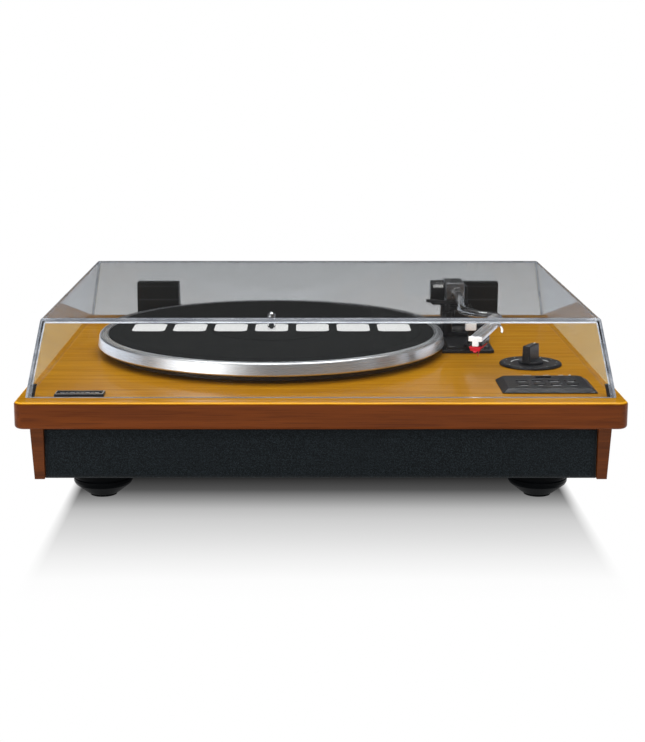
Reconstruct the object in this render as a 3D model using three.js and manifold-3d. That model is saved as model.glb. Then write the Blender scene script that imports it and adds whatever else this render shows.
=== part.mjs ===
// Record player with a wooden plinth, belt-driven platter, S-shaped tonearm and hinged dust cover.
// Millimetres, +Z up. The origin is on the floor, below the middle of the plinth.
// +X is the player's right, -Y its front.
import * as THREE from 'three';
import { ConvexGeometry } from 'three/addons/geometries/ConvexGeometry.js';
import { mergeVertices } from 'three/addons/utils/BufferGeometryUtils.js';
import Module from 'manifold-3d';

const wasm = await Module();
wasm.setup();

// ---------------------------------------------------------------- driving dimensions
const GAP = 0.3; // between pieces that touch
const DECK = 78.5; // height of the plinth's top face: heights above it are written DECK + h
const BOARD = { width: 450, depth: 370, thickness: 20.2, corner: 8 };
const CABINET = { halfWidth: 213.7, taper: 2.3, cheek: 9.7, front: -179, back: 177.5, bottom: 19.3 };
const FOOT = { x: 164.5, y: 150, radius: 22.2, tip: 10.25, pad: 1.8, shoulder: 11, height: 19 };
const PLATTER = { x: -40.4, y: 20, radius: 147.3, bottom: 6.6, top: 17, mat: 137.8, matTop: 17.2 };
const DRIVE = { ring: 83, pulley: 6.1, distance: 104, direction: 135, beltBottom: 4.3, beltTop: 9.3 };
const ARM = { x: 121, y: 85, height: 38, tube: 3.75, socketX: 123 };
const SHELL = { x: 118.35, y: -119, angle: -21.56, length: 52, width: 10.7 };
const LIFT = { inner: 30, outer: 34, from: -6, to: 50, top: 33.9, postAngle: 15 };
const COVER = {
  bottom: 0.7, top: 57, wall: 3,
  lowX: 218.1, highX: 207.75, lowFront: -171.9, highFront: -153.4, lowBack: 179, highBack: 164,
};
const HINGE = { x: 150, width: 39, y: 180.6, height: 6, blockFront: 153.5, blockTop: 35, notch: 176 };
const PANEL = { x0: 136, x1: 207, y0: -155, y1: -103, height: 3.6, bevel: 5 };
const BUTTON = { length: 8.8, width: 4, columns: [153.7, 166, 178.5, 190.8], rows: [-125, -138] };
const USB = { x: 172.5, y: -112, length: 12.8, width: 5.4 };
const KNOB = { x: 172.1, y: -46.5, dish: 25.2, angle: -27.6 };

const CABINET_TOP = DECK - BOARD.thickness - GAP;
const INNER_X = CABINET.halfWidth - CABINET.cheek - GAP;

// ---------------------------------------------------------------- materials
const finish = (color, roughness, metalness = 0) =>
  new THREE.MeshStandardMaterial({ color, roughness, metalness });
const WALNUT = finish(0xb0802e, 0.35);
const STAINED_WOOD = finish(0x784119, 0.4);
const FIBREBOARD = finish(0x4a3a2c, 0.8);
const CLOTH = finish(0x1c2023, 0.95);
const BLACK_PLASTIC = finish(0x1a1b1c, 0.45);
const GREY_PLASTIC = finish(0x3a3d40, 0.45);
const RUBBER = finish(0x141414, 0.85);
const FELT = finish(0x343635, 0.98);
const ALUMINIUM = finish(0xc6c7c9, 0.3, 1);
const CHROME = finish(0xd5d7da, 0.12, 1);
const STEEL = finish(0x9a9da0, 0.3, 1);
const BRASS = finish(0xb08a3e, 0.3, 1);
const RED_PLASTIC = finish(0xc0182c, 0.35);
const CIRCUIT_GREEN = finish(0x1f5a35, 0.6);
const PAPER_CONE = finish(0x222222, 0.9);
const ACRYLIC = new THREE.MeshStandardMaterial({
  color: 0xe8eaec, roughness: 0.05, transparent: true, opacity: 0.25,
});

// ---------------------------------------------------------------- geometry helpers
const radians = THREE.MathUtils.degToRad;

// One vertex per place, no collapsed triangles, faces pointing out.
function weld(geometry) {
  const bare = geometry.clone();
  bare.deleteAttribute('normal');
  bare.deleteAttribute('uv');
  const merged = mergeVertices(bare, 1e-4);
  const index = merged.index.array;
  const kept = [];
  for (let i = 0; i < index.length; i += 3) {
    const [a, b, c] = [index[i], index[i + 1], index[i + 2]];
    if (a !== b && b !== c && a !== c) kept.push(a, b, c);
  }
  const p = merged.attributes.position;
  const corner = (i) => new THREE.Vector3().fromBufferAttribute(p, i);
  let volume = 0;
  for (let i = 0; i < kept.length; i += 3) {
    volume += corner(kept[i]).dot(corner(kept[i + 1]).cross(corner(kept[i + 2])));
  }
  merged.setIndex(volume < 0 ? kept.reverse() : kept);
  return merged;
}

function solidOf(geometry) {
  const welded = weld(geometry);
  return new wasm.Manifold(new wasm.Mesh({
    numProp: 3,
    vertProperties: new Float32Array(welded.attributes.position.array),
    triVerts: new Uint32Array(welded.index.array),
  }));
}

function geometryOf(solid) {
  const mesh = solid.getMesh();
  const geometry = new THREE.BufferGeometry();
  geometry.setAttribute('position', new THREE.BufferAttribute(new Float32Array(mesh.vertProperties), 3));
  geometry.setIndex(new THREE.BufferAttribute(new Uint32Array(mesh.triVerts), 1));
  return geometry;
}

const cut = (base, ...tools) =>
  geometryOf(tools.reduce((solid, tool) => solid.subtract(solidOf(tool)), solidOf(base)));
const join = (base, ...others) =>
  geometryOf(others.reduce((solid, other) => solid.add(solidOf(other)), solidOf(base)));

const box = (x0, x1, y0, y1, z0, z1) =>
  new THREE.BoxGeometry(x1 - x0, y1 - y0, z1 - z0)
    .translate((x0 + x1) / 2, (y0 + y1) / 2, (z0 + z1) / 2);

// A round post along Z.
const post = (x, y, radius, z0, z1, sides = 20) =>
  new THREE.CylinderGeometry(radius, radius, z1 - z0, sides).rotateX(Math.PI / 2)
    .translate(x, y, (z0 + z1) / 2);

// A round rod along X or Y.
const rodX = (y, z, radius, x0, x1, sides = 20) =>
  new THREE.CylinderGeometry(radius, radius, x1 - x0, sides).rotateZ(Math.PI / 2)
    .translate((x0 + x1) / 2, y, z);
const rodY = (x, z, radius, y0, y1, sides = 20) =>
  new THREE.CylinderGeometry(radius, radius, y1 - y0, sides).translate(x, (y0 + y1) / 2, z);

// A turned piece: profile points are [radius, height], turned about Z.
const turned = (profile, sides) =>
  weld(new THREE.LatheGeometry(profile.map(([r, z]) => new THREE.Vector2(r, z)), sides)
    .rotateX(Math.PI / 2));

// A turned ring: its profile closes on itself.
const turnedRing = (profile, sides) => turned([...profile, profile[0]], sides);

function roundedRect(x0, x1, y0, y1, r) {
  const shape = new THREE.Shape();
  shape.moveTo(x0 + r, y0);
  shape.absarc(x1 - r, y0 + r, r, -Math.PI / 2, 0);
  shape.absarc(x1 - r, y1 - r, r, 0, Math.PI / 2);
  shape.absarc(x0 + r, y1 - r, r, Math.PI / 2, Math.PI);
  shape.absarc(x0 + r, y0 + r, r, Math.PI, 1.5 * Math.PI);
  return shape;
}

// A slot with round ends, centred on x, y.
const slotted = (x, y, length, width) =>
  roundedRect(x - length / 2, x + length / 2, y - width / 2, y + width / 2, width / 2 - 0.01);

const roundHole = (x, y, r) => new THREE.Path().absarc(x, y, r, 0, 2 * Math.PI, true);

const plate = (shape, z0, z1, curveSegments = 4) =>
  new THREE.ExtrudeGeometry(shape, { depth: z1 - z0, bevelEnabled: false, curveSegments })
    .translate(0, 0, z0);

// A block with six flat sides between two level rectangles [x0, x1, y0, y1, z].
function tapered(low, high) {
  const corners = [low, high].flatMap(([x0, x1, y0, y1, z]) => [
    new THREE.Vector3(x0, y0, z), new THREE.Vector3(x1, y0, z),
    new THREE.Vector3(x0, y1, z), new THREE.Vector3(x1, y1, z),
  ]);
  return new ConvexGeometry(corners);
}

// A straight bar between two upright rectangles [x0, x1, z0, z1, y].
function loft(front, rear) {
  const corners = [front, rear].flatMap(([x0, x1, z0, z1, y]) => [
    new THREE.Vector3(x0, y, z0), new THREE.Vector3(x1, y, z0),
    new THREE.Vector3(x0, y, z1), new THREE.Vector3(x1, y, z1),
  ]);
  return new ConvexGeometry(corners);
}

function piece(name, geometry, material) {
  const mesh = new THREE.Mesh(weld(geometry), material);
  mesh.name = name;
  return mesh;
}

function assembly(...pieces) {
  const group = new THREE.Group();
  group.add(...pieces);
  return group;
}

// The sides of the player: its name, and the sign of X there.
const SIDES = [['left', -1], ['right', 1]];
const mirrored = (sign, x0, x1) => (sign < 0 ? [-x1, -x0] : [x0, x1]);

// ---------------------------------------------------------------- plinth and cabinet
const pulleyX = PLATTER.x + DRIVE.distance * Math.cos(radians(DRIVE.direction));
const pulleyY = PLATTER.y + DRIVE.distance * Math.sin(radians(DRIVE.direction));

function plinthBoard() {
  const { width, depth, corner, thickness } = BOARD;
  const outline = roundedRect(-width / 2, width / 2, -depth / 2, depth / 2, corner);
  outline.holes.push(
    roundHole(PLATTER.x, PLATTER.y, 9.5),
    roundHole(pulleyX, pulleyY, 9),
    roundHole(ARM.x, ARM.y, 8),
    roundHole(KNOB.x, KNOB.y, 4.5),
  );
  const board = plate(outline, DECK - thickness, DECK, 4);
  const half = HINGE.width / 2 + 1;
  const notches = SIDES.map(([, sign]) =>
    box(sign * HINGE.x - half, sign * HINGE.x + half, HINGE.notch, depth, 0, 2 * DECK));
  const controlsOpening = box(146, 198, -144, -106, 0, 2 * DECK);
  return piece('plinth_board', cut(board, controlsOpening, ...notches), WALNUT);
}

function cheek([side, sign]) {
  const { halfWidth, taper, cheek: thickness, front, back, bottom } = CABINET;
  const inner = halfWidth - thickness;
  const low = [...mirrored(sign, inner, halfWidth - taper), front, back, bottom];
  const high = [...mirrored(sign, inner, halfWidth), front, back, CABINET_TOP];
  return piece(`${side}_cheek`, tapered(low, high), STAINED_WOOD);
}

const BAFFLE_FRONT = -175;
const BAFFLE_BACK = -167;
const SPEAKER = { x: 118, z: 40.8, length: 74, width: 33, hole: 62, holeWidth: 26 };

// An outline in X and Z, extruded backwards from front to back.
const upright = (shape, front, back) =>
  plate(shape, 0, back - front).rotateX(Math.PI / 2).translate(0, back, 0);

function frontBaffle() {
  const panel = box(-INNER_X, INNER_X, BAFFLE_FRONT, BAFFLE_BACK, CABINET.bottom, CABINET_TOP);
  const holes = SIDES.map(([, sign]) => upright(
    slotted(sign * SPEAKER.x, SPEAKER.z, SPEAKER.hole, SPEAKER.holeWidth),
    BAFFLE_FRONT - 5, BAFFLE_BACK + 5));
  return piece('front_baffle', cut(panel, ...holes), FIBREBOARD);
}

function grilleCloth() {
  const back = BAFFLE_FRONT - GAP;
  return piece('grille_cloth',
    box(-INNER_X, INNER_X, back - 1.2, back, CABINET.bottom, CABINET_TOP), CLOTH);
}

function rearPanel() {
  const panel = box(-INNER_X, INNER_X, 168, 176, CABINET.bottom, CABINET_TOP);
  const inletHole = box(-177, -163, 160, 180, 32, 46);
  const phonoHole = box(-151, -113, 160, 180, 30, 48);
  return piece('rear_panel', cut(panel, inletHole, phonoHole), FIBREBOARD);
}

function bottomBoard() {
  const bottom = CABINET.bottom;
  return piece('bottom_board',
    box(-INNER_X, INNER_X, BAFFLE_BACK + GAP, 167.7, bottom, bottom + 4), FIBREBOARD);
}

function speaker([side, sign]) {
  const x = sign * SPEAKER.x;
  const front = BAFFLE_BACK + GAP;
  const outline = (grow) => slotted(x, SPEAKER.z, SPEAKER.length + grow, SPEAKER.width + grow);
  const basket = join(
    upright(outline(0), front, front + 2),
    upright(outline(-8), front + 1, front + 16),
    rodY(x, SPEAKER.z, 14, front + 15, front + 27, 16));
  const bowl = upright(outline(-11), front - 1, front + 13);
  const frame = piece(`speaker_basket_${side}`, cut(basket, bowl), STEEL);

  const coneProfile = [[0, 8], [4, 8], [5, 5], [10, 1], [10.6, 1], [10.6, 2.4], [5.6, 11], [0, 11]];
  const cone = turned(coneProfile, 20).rotateX(-Math.PI / 2).scale(2.6, 1, 1)
    .translate(x, front, SPEAKER.z);
  return [frame, piece(`speaker_cone_${side}`, cone, PAPER_CONE)];
}

function foot(name, x, y) {
  const profile = [
    [0, 0], [FOOT.tip, 0], [FOOT.tip, FOOT.pad], [FOOT.radius, FOOT.shoulder],
    [FOOT.radius, FOOT.height], [0, FOOT.height],
  ];
  return piece(name, turned(profile, 28).translate(x, y, 0), RUBBER);
}

function feet() {
  return [['front', -1], ['rear', 1]].flatMap(([end, ySign]) => SIDES.map(([side, xSign]) =>
    foot(`foot_${end}_${side}`, xSign * FOOT.x, ySign * FOOT.y)));
}

function circuitBoard() {
  const floor = CABINET.bottom + 4 + GAP;
  const top = floor + 8;
  const standoffs = [[70, 55], [180, 55], [70, 115], [180, 115]].map(([x, y]) =>
    post(x, y, 3, floor, top, 10));
  const capacitors = [0, 1, 2].map((i) => post(90 + 16 * i, 70, 5.5, top, top + 15, 12));
  const heatSink = box(140, 172, 92, 104, top, top + 16);
  const chips = [0, 1].map((i) => box(84 + 24 * i, 98 + 24 * i, 92, 104, top, top + 3.5));
  const board = box(62, 188, 48, 122, top - 1, top + 0.6);
  return piece('circuit_board',
    join(board, ...standoffs, ...capacitors, heatSink, ...chips), CIRCUIT_GREEN);
}

function rearSockets() {
  const back = 176 + GAP;
  const barrels = [-140, -124].map((x) => rodY(x, 39, 4.1, back, 184.4, 16));
  const bores = [-140, -124].map((x) => rodY(x, 39, 1.7, back - 4, 190, 12));
  const block = join(
    box(-154, -110, back, back + 1.6, 28, 50), box(-150, -114, 163, back + 1, 31, 47), ...barrels);
  const phono = piece('phono_sockets', cut(block, ...bores), BLACK_PLASTIC);

  const inletBody = join(
    box(-179, -161, back, back + 1.6, 30, 48), box(-176, -164, 165, back + 1, 33, 45));
  const inlet = join(
    cut(inletBody, rodY(-170, 39, 2.9, 169, 190, 16)), rodY(-170, 39, 0.9, 168, 176.5, 8));
  return [phono, piece('power_inlet', inlet, BLACK_PLASTIC)];
}

const cabinet = assembly(
  plinthBoard(), ...SIDES.map(cheek), frontBaffle(), grilleCloth(), rearPanel(), bottomBoard(),
  ...SIDES.flatMap(speaker), ...feet(), circuitBoard(), ...rearSockets());

// ---------------------------------------------------------------- platter and its drive
const BEARING_BORE = 3.65;
const SPINDLE_RADIUS = 3.5;

function mainBearing() {
  const profile = [
    [0, 50], [8, 50], [8, DECK + GAP], [18, DECK + GAP], [18, DECK + 2.8],
    [BEARING_BORE, DECK + 2.8], [BEARING_BORE, 54.2], [0, 54.2],
  ];
  return piece('main_bearing', turned(profile, 24).translate(PLATTER.x, PLATTER.y, 0), STEEL);
}

function spindle() {
  const profile = [
    [0, 54.6], [SPINDLE_RADIUS, 54.6], [SPINDLE_RADIUS, DECK + 3.5], [8, DECK + 3.5],
    [8, DECK + 6.2], [SPINDLE_RADIUS, DECK + 6.2], [SPINDLE_RADIUS, DECK + 26.5],
    [2.9, DECK + 29], [1.3, DECK + 30.2], [0, DECK + 30.2],
  ];
  return piece('spindle', turned(profile, 24).translate(PLATTER.x, PLATTER.y, 0), CHROME);
}

function platter() {
  const { radius, bottom, top, mat } = PLATTER;
  const bed = 14.5; // where the mat lies
  const web = 12.1; // underside of the plate
  const ringInner = DRIVE.ring - 3;
  const heights = [
    [3.8, 6.5], [3.8, bed], [mat + 0.5, bed], [mat + 0.9, top], [radius - 1.5, top],
    [radius, top - 1.5], [radius, bottom + 1.1], [radius - 1.1, bottom], [radius - 5.3, bottom],
    [radius - 5.3, web], [DRIVE.ring, web], [DRIVE.ring, 3.5], [ringInner, 3.5],
    [ringInner, web], [12, web], [12, 6.5],
  ];
  const profile = heights.map(([r, h]) => [r, DECK + h]);
  return piece('platter', turnedRing(profile, 60).translate(PLATTER.x, PLATTER.y, 0), ALUMINIUM);
}

function platterMat() {
  const { mat, matTop } = PLATTER;
  const low = DECK + 14.5 + GAP;
  const profile = [
    [3.9, low], [mat, low], [mat, DECK + matTop - 0.6], [mat - 0.8, DECK + matTop],
    [3.9, DECK + matTop],
  ];
  return piece('platter_mat', turnedRing(profile, 60).translate(PLATTER.x, PLATTER.y, 0), FELT);
}

function motorMount() {
  const outline = roundedRect(pulleyX - 27, pulleyX + 27, pulleyY - 22, pulleyY + 22, 8);
  outline.holes.push(roundHole(pulleyX, pulleyY, 4));
  return piece('motor_mount', plate(outline, 55.7, CABINET_TOP, 4), STEEL);
}

function motor() {
  return piece('motor', post(pulleyX, pulleyY, 17.5, 33.5, 55.4, 32), STEEL);
}

function motorPulley() {
  const { pulley } = DRIVE;
  const shaft = 1.5;
  const profile = [
    [0, 55.9], [shaft, 55.9], [shaft, DECK + 2.5], [pulley + 1.1, DECK + 2.5],
    [pulley + 1.1, DECK + 3.3], [pulley, DECK + 3.7], [pulley, DECK + 9.9],
    [pulley + 1.1, DECK + 10.3], [pulley + 1.1, DECK + 11.1], [0, DECK + 11.1],
  ];
  return piece('motor_pulley', turned(profile, 20).translate(pulleyX, pulleyY, 0), BRASS);
}

// The belt's outline runs round the drive ring and the pulley, at a distance from both.
function beltOutline(away) {
  const ring = DRIVE.ring + away;
  const pulley = DRIVE.pulley + away;
  const wrap = Math.acos((ring - pulley) / DRIVE.distance);
  const shape = new THREE.Shape();
  shape.absarc(0, 0, ring, wrap, 2 * Math.PI - wrap);
  shape.absarc(DRIVE.distance, 0, pulley, -wrap, wrap);
  return shape;
}

function driveBelt() {
  const { beltBottom, beltTop, direction } = DRIVE;
  const loop = cut(plate(beltOutline(1.5), DECK + beltBottom, DECK + beltTop, 14),
    plate(beltOutline(0.6), DECK, DECK + 20, 14));
  return piece('drive_belt',
    loop.rotateZ(radians(direction)).translate(PLATTER.x, PLATTER.y, 0), RUBBER);
}

const drive = assembly(mainBearing(), motorMount(), motor(), driveBelt());
const turning = assembly(platter(), platterMat(), spindle());

// ---------------------------------------------------------------- tonearm
const BASE_TOP = 5.4; // height of the tonearm's base plate above the deck
const CLEARANCE = 146; // radius kept clear round the platter

function tonearmBase() {
  const [front, back, right, left, corner] = [0, 146, 148.5, 84, 3];
  const angleAt = (x, y) => Math.atan2(y - PLATTER.y, x - PLATTER.x);
  const reach = (distance) => Math.sqrt(CLEARANCE ** 2 - distance ** 2);
  const frontAngle = angleAt(PLATTER.x + reach(front - PLATTER.y), front);
  const backAngle = angleAt(left, PLATTER.y + reach(left - PLATTER.x));
  const outline = new THREE.Shape();
  outline.absarc(right - corner, front + corner, corner, -Math.PI / 2, 0);
  outline.absarc(right - corner, back - corner, corner, 0, Math.PI / 2);
  outline.absarc(left + corner, back - corner, corner, Math.PI / 2, Math.PI);
  outline.absarc(PLATTER.x, PLATTER.y, CLEARANCE, backAngle, frontAngle, true);
  outline.holes.push(roundHole(ARM.x, ARM.y, 7));
  const speedSlot = box(138.3, 141.7, 112, 128, DECK - 5, DECK + 20);
  return piece('tonearm_base',
    cut(plate(outline, DECK + GAP, DECK + BASE_TOP, 8), speedSlot), BLACK_PLASTIC);
}

function tonearmPedestal() {
  const low = DECK + BASE_TOP + GAP;
  const profile = [
    [0, low], [15, low], [15, low + 2.5], [11.5, low + 6], [11.5, DECK + 26], [0, DECK + 26],
  ];
  return piece('tonearm_pedestal', turned(profile, 24).translate(ARM.x, ARM.y, 0), BLACK_PLASTIC);
}

const BLOCK = { x0: 112.6, x1: 129.4, y0: 70, y1: 100, z0: DECK + 32, z1: DECK + 47.3 };

// The yoke turns on the pedestal and carries the arm's block between its two bearings.
function tonearmYoke() {
  const floor = DECK + 26.4;
  const axis = DECK + ARM.height;
  const y = ARM.y;
  return piece('tonearm_yoke', join(
    box(101, 133, y - 8, y + 8, floor, floor + 4),
    box(101, BLOCK.x0 - GAP, y - 8, y + 8, floor, axis),
    rodX(y, axis + 0.6, 9.2, 100, BLOCK.x0 - GAP, 24),
    box(BLOCK.x1 + GAP, 133, y - 6, y + 6, floor, axis + 5)), BLACK_PLASTIC);
}

function tonearmBlock() {
  const { x0, x1, y0, y1, z0, z1 } = BLOCK;
  const axis = DECK + ARM.height;
  return piece('tonearm_block',
    join(box(x0, x1, y0, y1, z0, z1), rodY(ARM.socketX, axis, 5.4, y0 - 1.6, y0 + 1, 20)), ALUMINIUM);
}

// Middle line of the tube, from the block to the headshell's collar.
function tubeLine() {
  const direction = radians(SHELL.angle);
  const collar = SHELL.length + 8 + 3 * GAP;
  const endX = SHELL.x - collar * Math.sin(direction);
  const endY = SHELL.y + collar * Math.cos(direction);
  const z = DECK + ARM.height;
  const points = [
    [ARM.socketX, BLOCK.y0 - 1.6 - GAP], [121.4, 30], [118.9, -6], [120.2, -25], [128.7, -39],
    [138.2, -48.5], [endX + 2.4, endY + 6.4], [endX, endY],
  ];
  return new THREE.CatmullRomCurve3(points.map(([x, y]) => new THREE.Vector3(x, y, z)));
}

function tonearmTube() {
  const section = new THREE.Shape().absarc(0, 0, ARM.tube, 0, 2 * Math.PI);
  return piece('tonearm_tube', new THREE.ExtrudeGeometry(section, {
    steps: 32, extrudePath: tubeLine(), bevelEnabled: false, curveSegments: 5,
  }), CHROME);
}

// Headshell, cartridge and stylus are drawn straight, front face at y = 0, then turned into place.
function headshell() {
  const half = SHELL.width / 2;
  const { length } = SHELL;
  const body = loft([-half, half, 32.6, 36.8, 0], [-half, half, 35.8, 40.4, length]);
  const collar = rodY(0, ARM.height, 4.8, length - 1, length + 8, 20);
  const stem = box(-2.45, 2.45, 0, 3, 29, 33.5);
  const liftLine = new THREE.CatmullRomCurve3([
    new THREE.Vector3(3.5, 50, 37.5), new THREE.Vector3(7.6, 47.5, 36.7),
    new THREE.Vector3(10.2, 41.8, 33.4),
  ]);
  const liftSection = roundedRect(-1.3, 1.3, -0.6, 0.6, 0.4);
  const fingerLift = new THREE.ExtrudeGeometry(liftSection, {
    steps: 8, extrudePath: liftLine, bevelEnabled: false, curveSegments: 1,
  });
  return piece('headshell', join(body, collar, stem, fingerLift), CHROME);
}

function cartridge() {
  return piece('cartridge', loft([-4.8, 4.8, 29, 32.2, 3.3], [-4.8, 4.8, 29, 33.4, 25]), BLACK_PLASTIC);
}

function stylus() {
  const shoe = loft([-5, 5, 25, 28.7, -0.3], [-4, 4, 26.4, 28.7, 23]);
  const needle = new THREE.CylinderGeometry(1.5, 0.35, 6.3, 8).rotateX(Math.PI / 2)
    .translate(0, 9, 22.45);
  return piece('stylus', join(shoe, needle), RED_PLASTIC);
}

function counterweight() {
  const axis = DECK + ARM.height;
  const y = BLOCK.y1 + GAP;
  return piece('counterweight',
    join(rodY(ARM.x, axis, 4, y, y + 4, 16), rodY(ARM.x, axis - 2.8, 7.6, y + 3, y + 22, 28)), BLACK_PLASTIC);
}

function tonearmRest() {
  const [y0, y1] = [2.5, 7.5];
  const h = (height) => DECK + height;
  const saddle = cut(box(114.5, 128.6, 4, 6.5, h(23), h(39)),
    box(110, 125.8, 0, 10, h(ARM.height - ARM.tube - GAP), h(45)));
  return piece('tonearm_rest', join(
    post(128.3, 5, 5.5, h(BASE_TOP + GAP), h(8.2), 18),
    box(125.8, 130.8, 3, 7, h(7), h(20)),
    box(123.7, 133, y0, y1, h(19), h(25.5)),
    saddle), CHROME);
}

const liftPostX = ARM.x - 32 * Math.sin(radians(LIFT.postAngle));
const liftPostY = ARM.y - 32 * Math.cos(radians(LIFT.postAngle));
const LEVER = { x: 138.9, y: 55, height: 12.6 };

function liftHousing() {
  const h = (height) => DECK + height;
  const low = h(BASE_TOP + GAP);
  const body = join(
    box(107.5, 146, 49, 61, low, h(8.4)),
    post(liftPostX, liftPostY, 4.6, low, h(24), 20),
    box(131.5, 135.9, 49, 61, low, h(16.5)),
    box(142, 146, 49, 61, low, h(16.5)),
    rodX(LEVER.y, h(LEVER.height), 1.4, 132, 145, 12));
  return piece('lift_housing', cut(body, post(liftPostX, liftPostY, 2.35, h(6), h(30), 16)), BLACK_PLASTIC);
}

function liftBar() {
  const { inner, outer, from, to, top } = LIFT;
  const angle = (degrees) => -Math.PI / 2 - radians(degrees);
  const shape = new THREE.Shape();
  shape.absarc(0, 0, outer, angle(from), angle(to), true);
  shape.absarc(0, 0, inner, angle(to), angle(from), false);
  const bar = plate(shape, DECK + top - 2.6, DECK + top, 8).translate(ARM.x, ARM.y, 0);
  return piece('lift_bar',
    join(bar, post(liftPostX, liftPostY, 2, DECK + 12, DECK + top - 1, 16)), BRASS);
}

function cueLever() {
  const { x, y, height } = LEVER;
  const z = DECK + height;
  const arm = new ConvexGeometry([
    [x - 1.5, y - 2, z - 1.5], [x + 1.5, y - 2, z - 1.5], [x - 1.5, y - 2, z + 2], [x + 1.5, y - 2, z + 2],
    [x - 1.5, y - 21, z + 4], [x + 1.5, y - 21, z + 4], [x - 1.5, y - 21, z + 6.5], [x + 1.5, y - 21, z + 6.5],
  ].map((p) => new THREE.Vector3(...p)));
  const lever = join(rodX(y, z, 3.6, x - 2.6, x + 2.6, 20), arm,
    rodX(y - 21, z + 5.2, 2.6, x - 2.5, x + 2.5, 16));
  return piece('cue_lever', cut(lever, rodX(y, z, 1.7, x - 5, x + 5, 12)), BLACK_PLASTIC);
}

function speedSelector() {
  return piece('speed_selector', join(
    box(136.4, 143.6, 113, 119, DECK + BASE_TOP + GAP, DECK + BASE_TOP + 3.6),
    box(138.8, 141.2, 114.2, 117.8, DECK + 1, DECK + BASE_TOP + 1)), GREY_PLASTIC);
}

const shellParts = assembly(headshell(), cartridge(), stylus());
shellParts.position.set(SHELL.x, SHELL.y, DECK);
shellParts.rotation.z = radians(SHELL.angle);

const armBase = assembly(tonearmBase(), tonearmPedestal(), tonearmRest(), liftHousing());
const arm = assembly(tonearmBlock(), tonearmTube(), counterweight(), shellParts);
const armControls = assembly(liftBar(), cueLever(), speedSelector());

// ---------------------------------------------------------------- control panel, knob and badge
const PANEL_TOP = DECK + PANEL.height;

function controlPanel() {
  const { x0, x1, y0, y1, bevel } = PANEL;
  const body = tapered([x0, x1, y0, y1, DECK + GAP], [x0 + bevel, x1 - bevel, y0 + bevel, y1 - 3, PANEL_TOP]);
  const below = DECK - 5;
  const above = DECK + 20;
  const buttonHoles = BUTTON.rows.flatMap((y) => BUTTON.columns.map((x) =>
    plate(slotted(x, y, BUTTON.length + 0.6, BUTTON.width + 0.6), below, above, 2)));
  const usbHole = box(USB.x - USB.length / 2, USB.x + USB.length / 2,
    USB.y - USB.width / 2, USB.y + USB.width / 2, below, above);
  return piece('control_panel', cut(body, usbHole, ...buttonHoles), GREY_PLASTIC);
}

const BUTTON_NAMES = [
  'source_button', 'record_button', 'play_button', 'stop_button',
  'previous_button', 'next_button', 'repeat_button', 'delete_button',
];

function buttons() {
  return BUTTON_NAMES.map((name, i) => {
    const x = BUTTON.columns[i % 4];
    const y = BUTTON.rows[Math.floor(i / 4)];
    const outline = slotted(x, y, BUTTON.length, BUTTON.width);
    return piece(name, plate(outline, PANEL_TOP - 4.4, PANEL_TOP + 0.7, 2), GREY_PLASTIC);
  });
}

function usbSocket() {
  const { x, y } = USB;
  const [top, bottom] = [DECK - 1.6, DECK - 15];
  const shell = cut(box(x - 6.8, x + 6.8, y - 3.2, y + 3.2, bottom, top),
    box(x - 6.2, x + 6.2, y - 2.5, y + 2.5, bottom + 1, top + 5));
  const tongue = box(x - 5.5, x + 5.5, y - 0.2, y + 1.6, bottom + 0.5, top - 0.6);
  return piece('usb_socket', join(shell, tongue), STEEL);
}

function knobEscutcheon() {
  const h = (height) => DECK + height;
  const profile = [
    [4.4, h(GAP)], [KNOB.dish, h(GAP)], [KNOB.dish, h(0.9)], [KNOB.dish - 2.2, h(2.4)],
    [13, h(1.3)], [4.4, h(1.3)],
  ];
  return piece('knob_escutcheon', turnedRing(profile, 48).translate(KNOB.x, KNOB.y, 0), GREY_PLASTIC);
}

function volumeKnob() {
  const profile = [[0, -12], [3, -12], [3, 1.6], [10.4, 1.6], [10.4, 3.2], [9.4, 4], [0, 4]];
  const skirt = turned(profile, 28);
  const bar = loft([-3.25, 3.25, 3, 17.2, -11.6], [-3.25, 3.25, 3, 16.4, 11]);
  const knob = join(skirt, bar).rotateZ(radians(KNOB.angle)).translate(KNOB.x, KNOB.y, DECK);
  return piece('volume_knob', knob, GREY_PLASTIC);
}

function badge() {
  return piece('badge',
    tapered([-197.3, -160.3, -166.8, -154, DECK + GAP], [-196.3, -161.3, -165.8, -155, DECK + 2.5]),
    BLACK_PLASTIC);
}

const controls = assembly(
  controlPanel(), ...buttons(), usbSocket(), knobEscutcheon(), volumeKnob(), badge());

// ---------------------------------------------------------------- dust cover and hinges
// How far in the cover's sloping walls stand, a height above the deck: [half width, front, back].
function coverSection(height, inset = 0) {
  const part = height / COVER.top;
  const between = (low, high) => low + (high - low) * part;
  return [
    between(COVER.lowX, COVER.highX) - inset,
    between(COVER.lowFront, COVER.highFront) + inset,
    between(COVER.lowBack, COVER.highBack) - inset,
  ];
}

function coverBlock(bottom, top, inset) {
  const [lowX, lowFront, lowBack] = coverSection(bottom, inset);
  const [highX, highFront, highBack] = coverSection(top, inset);
  return tapered([-lowX, lowX, lowFront, lowBack, DECK + bottom],
    [-highX, highX, highFront, highBack, DECK + top]);
}

function dustCover() {
  const { bottom, top, wall } = COVER;
  const half = HINGE.width / 2 + 1;
  const notches = SIDES.map(([, sign]) =>
    box(sign * HINGE.x - half, sign * HINGE.x + half, 150, 200, DECK - 5, DECK + 12));
  return piece('dust_cover',
    cut(coverBlock(bottom, top, 0), coverBlock(-2, top - wall, wall), ...notches), ACRYLIC);
}

const hingeZ = DECK + HINGE.height;

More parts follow.
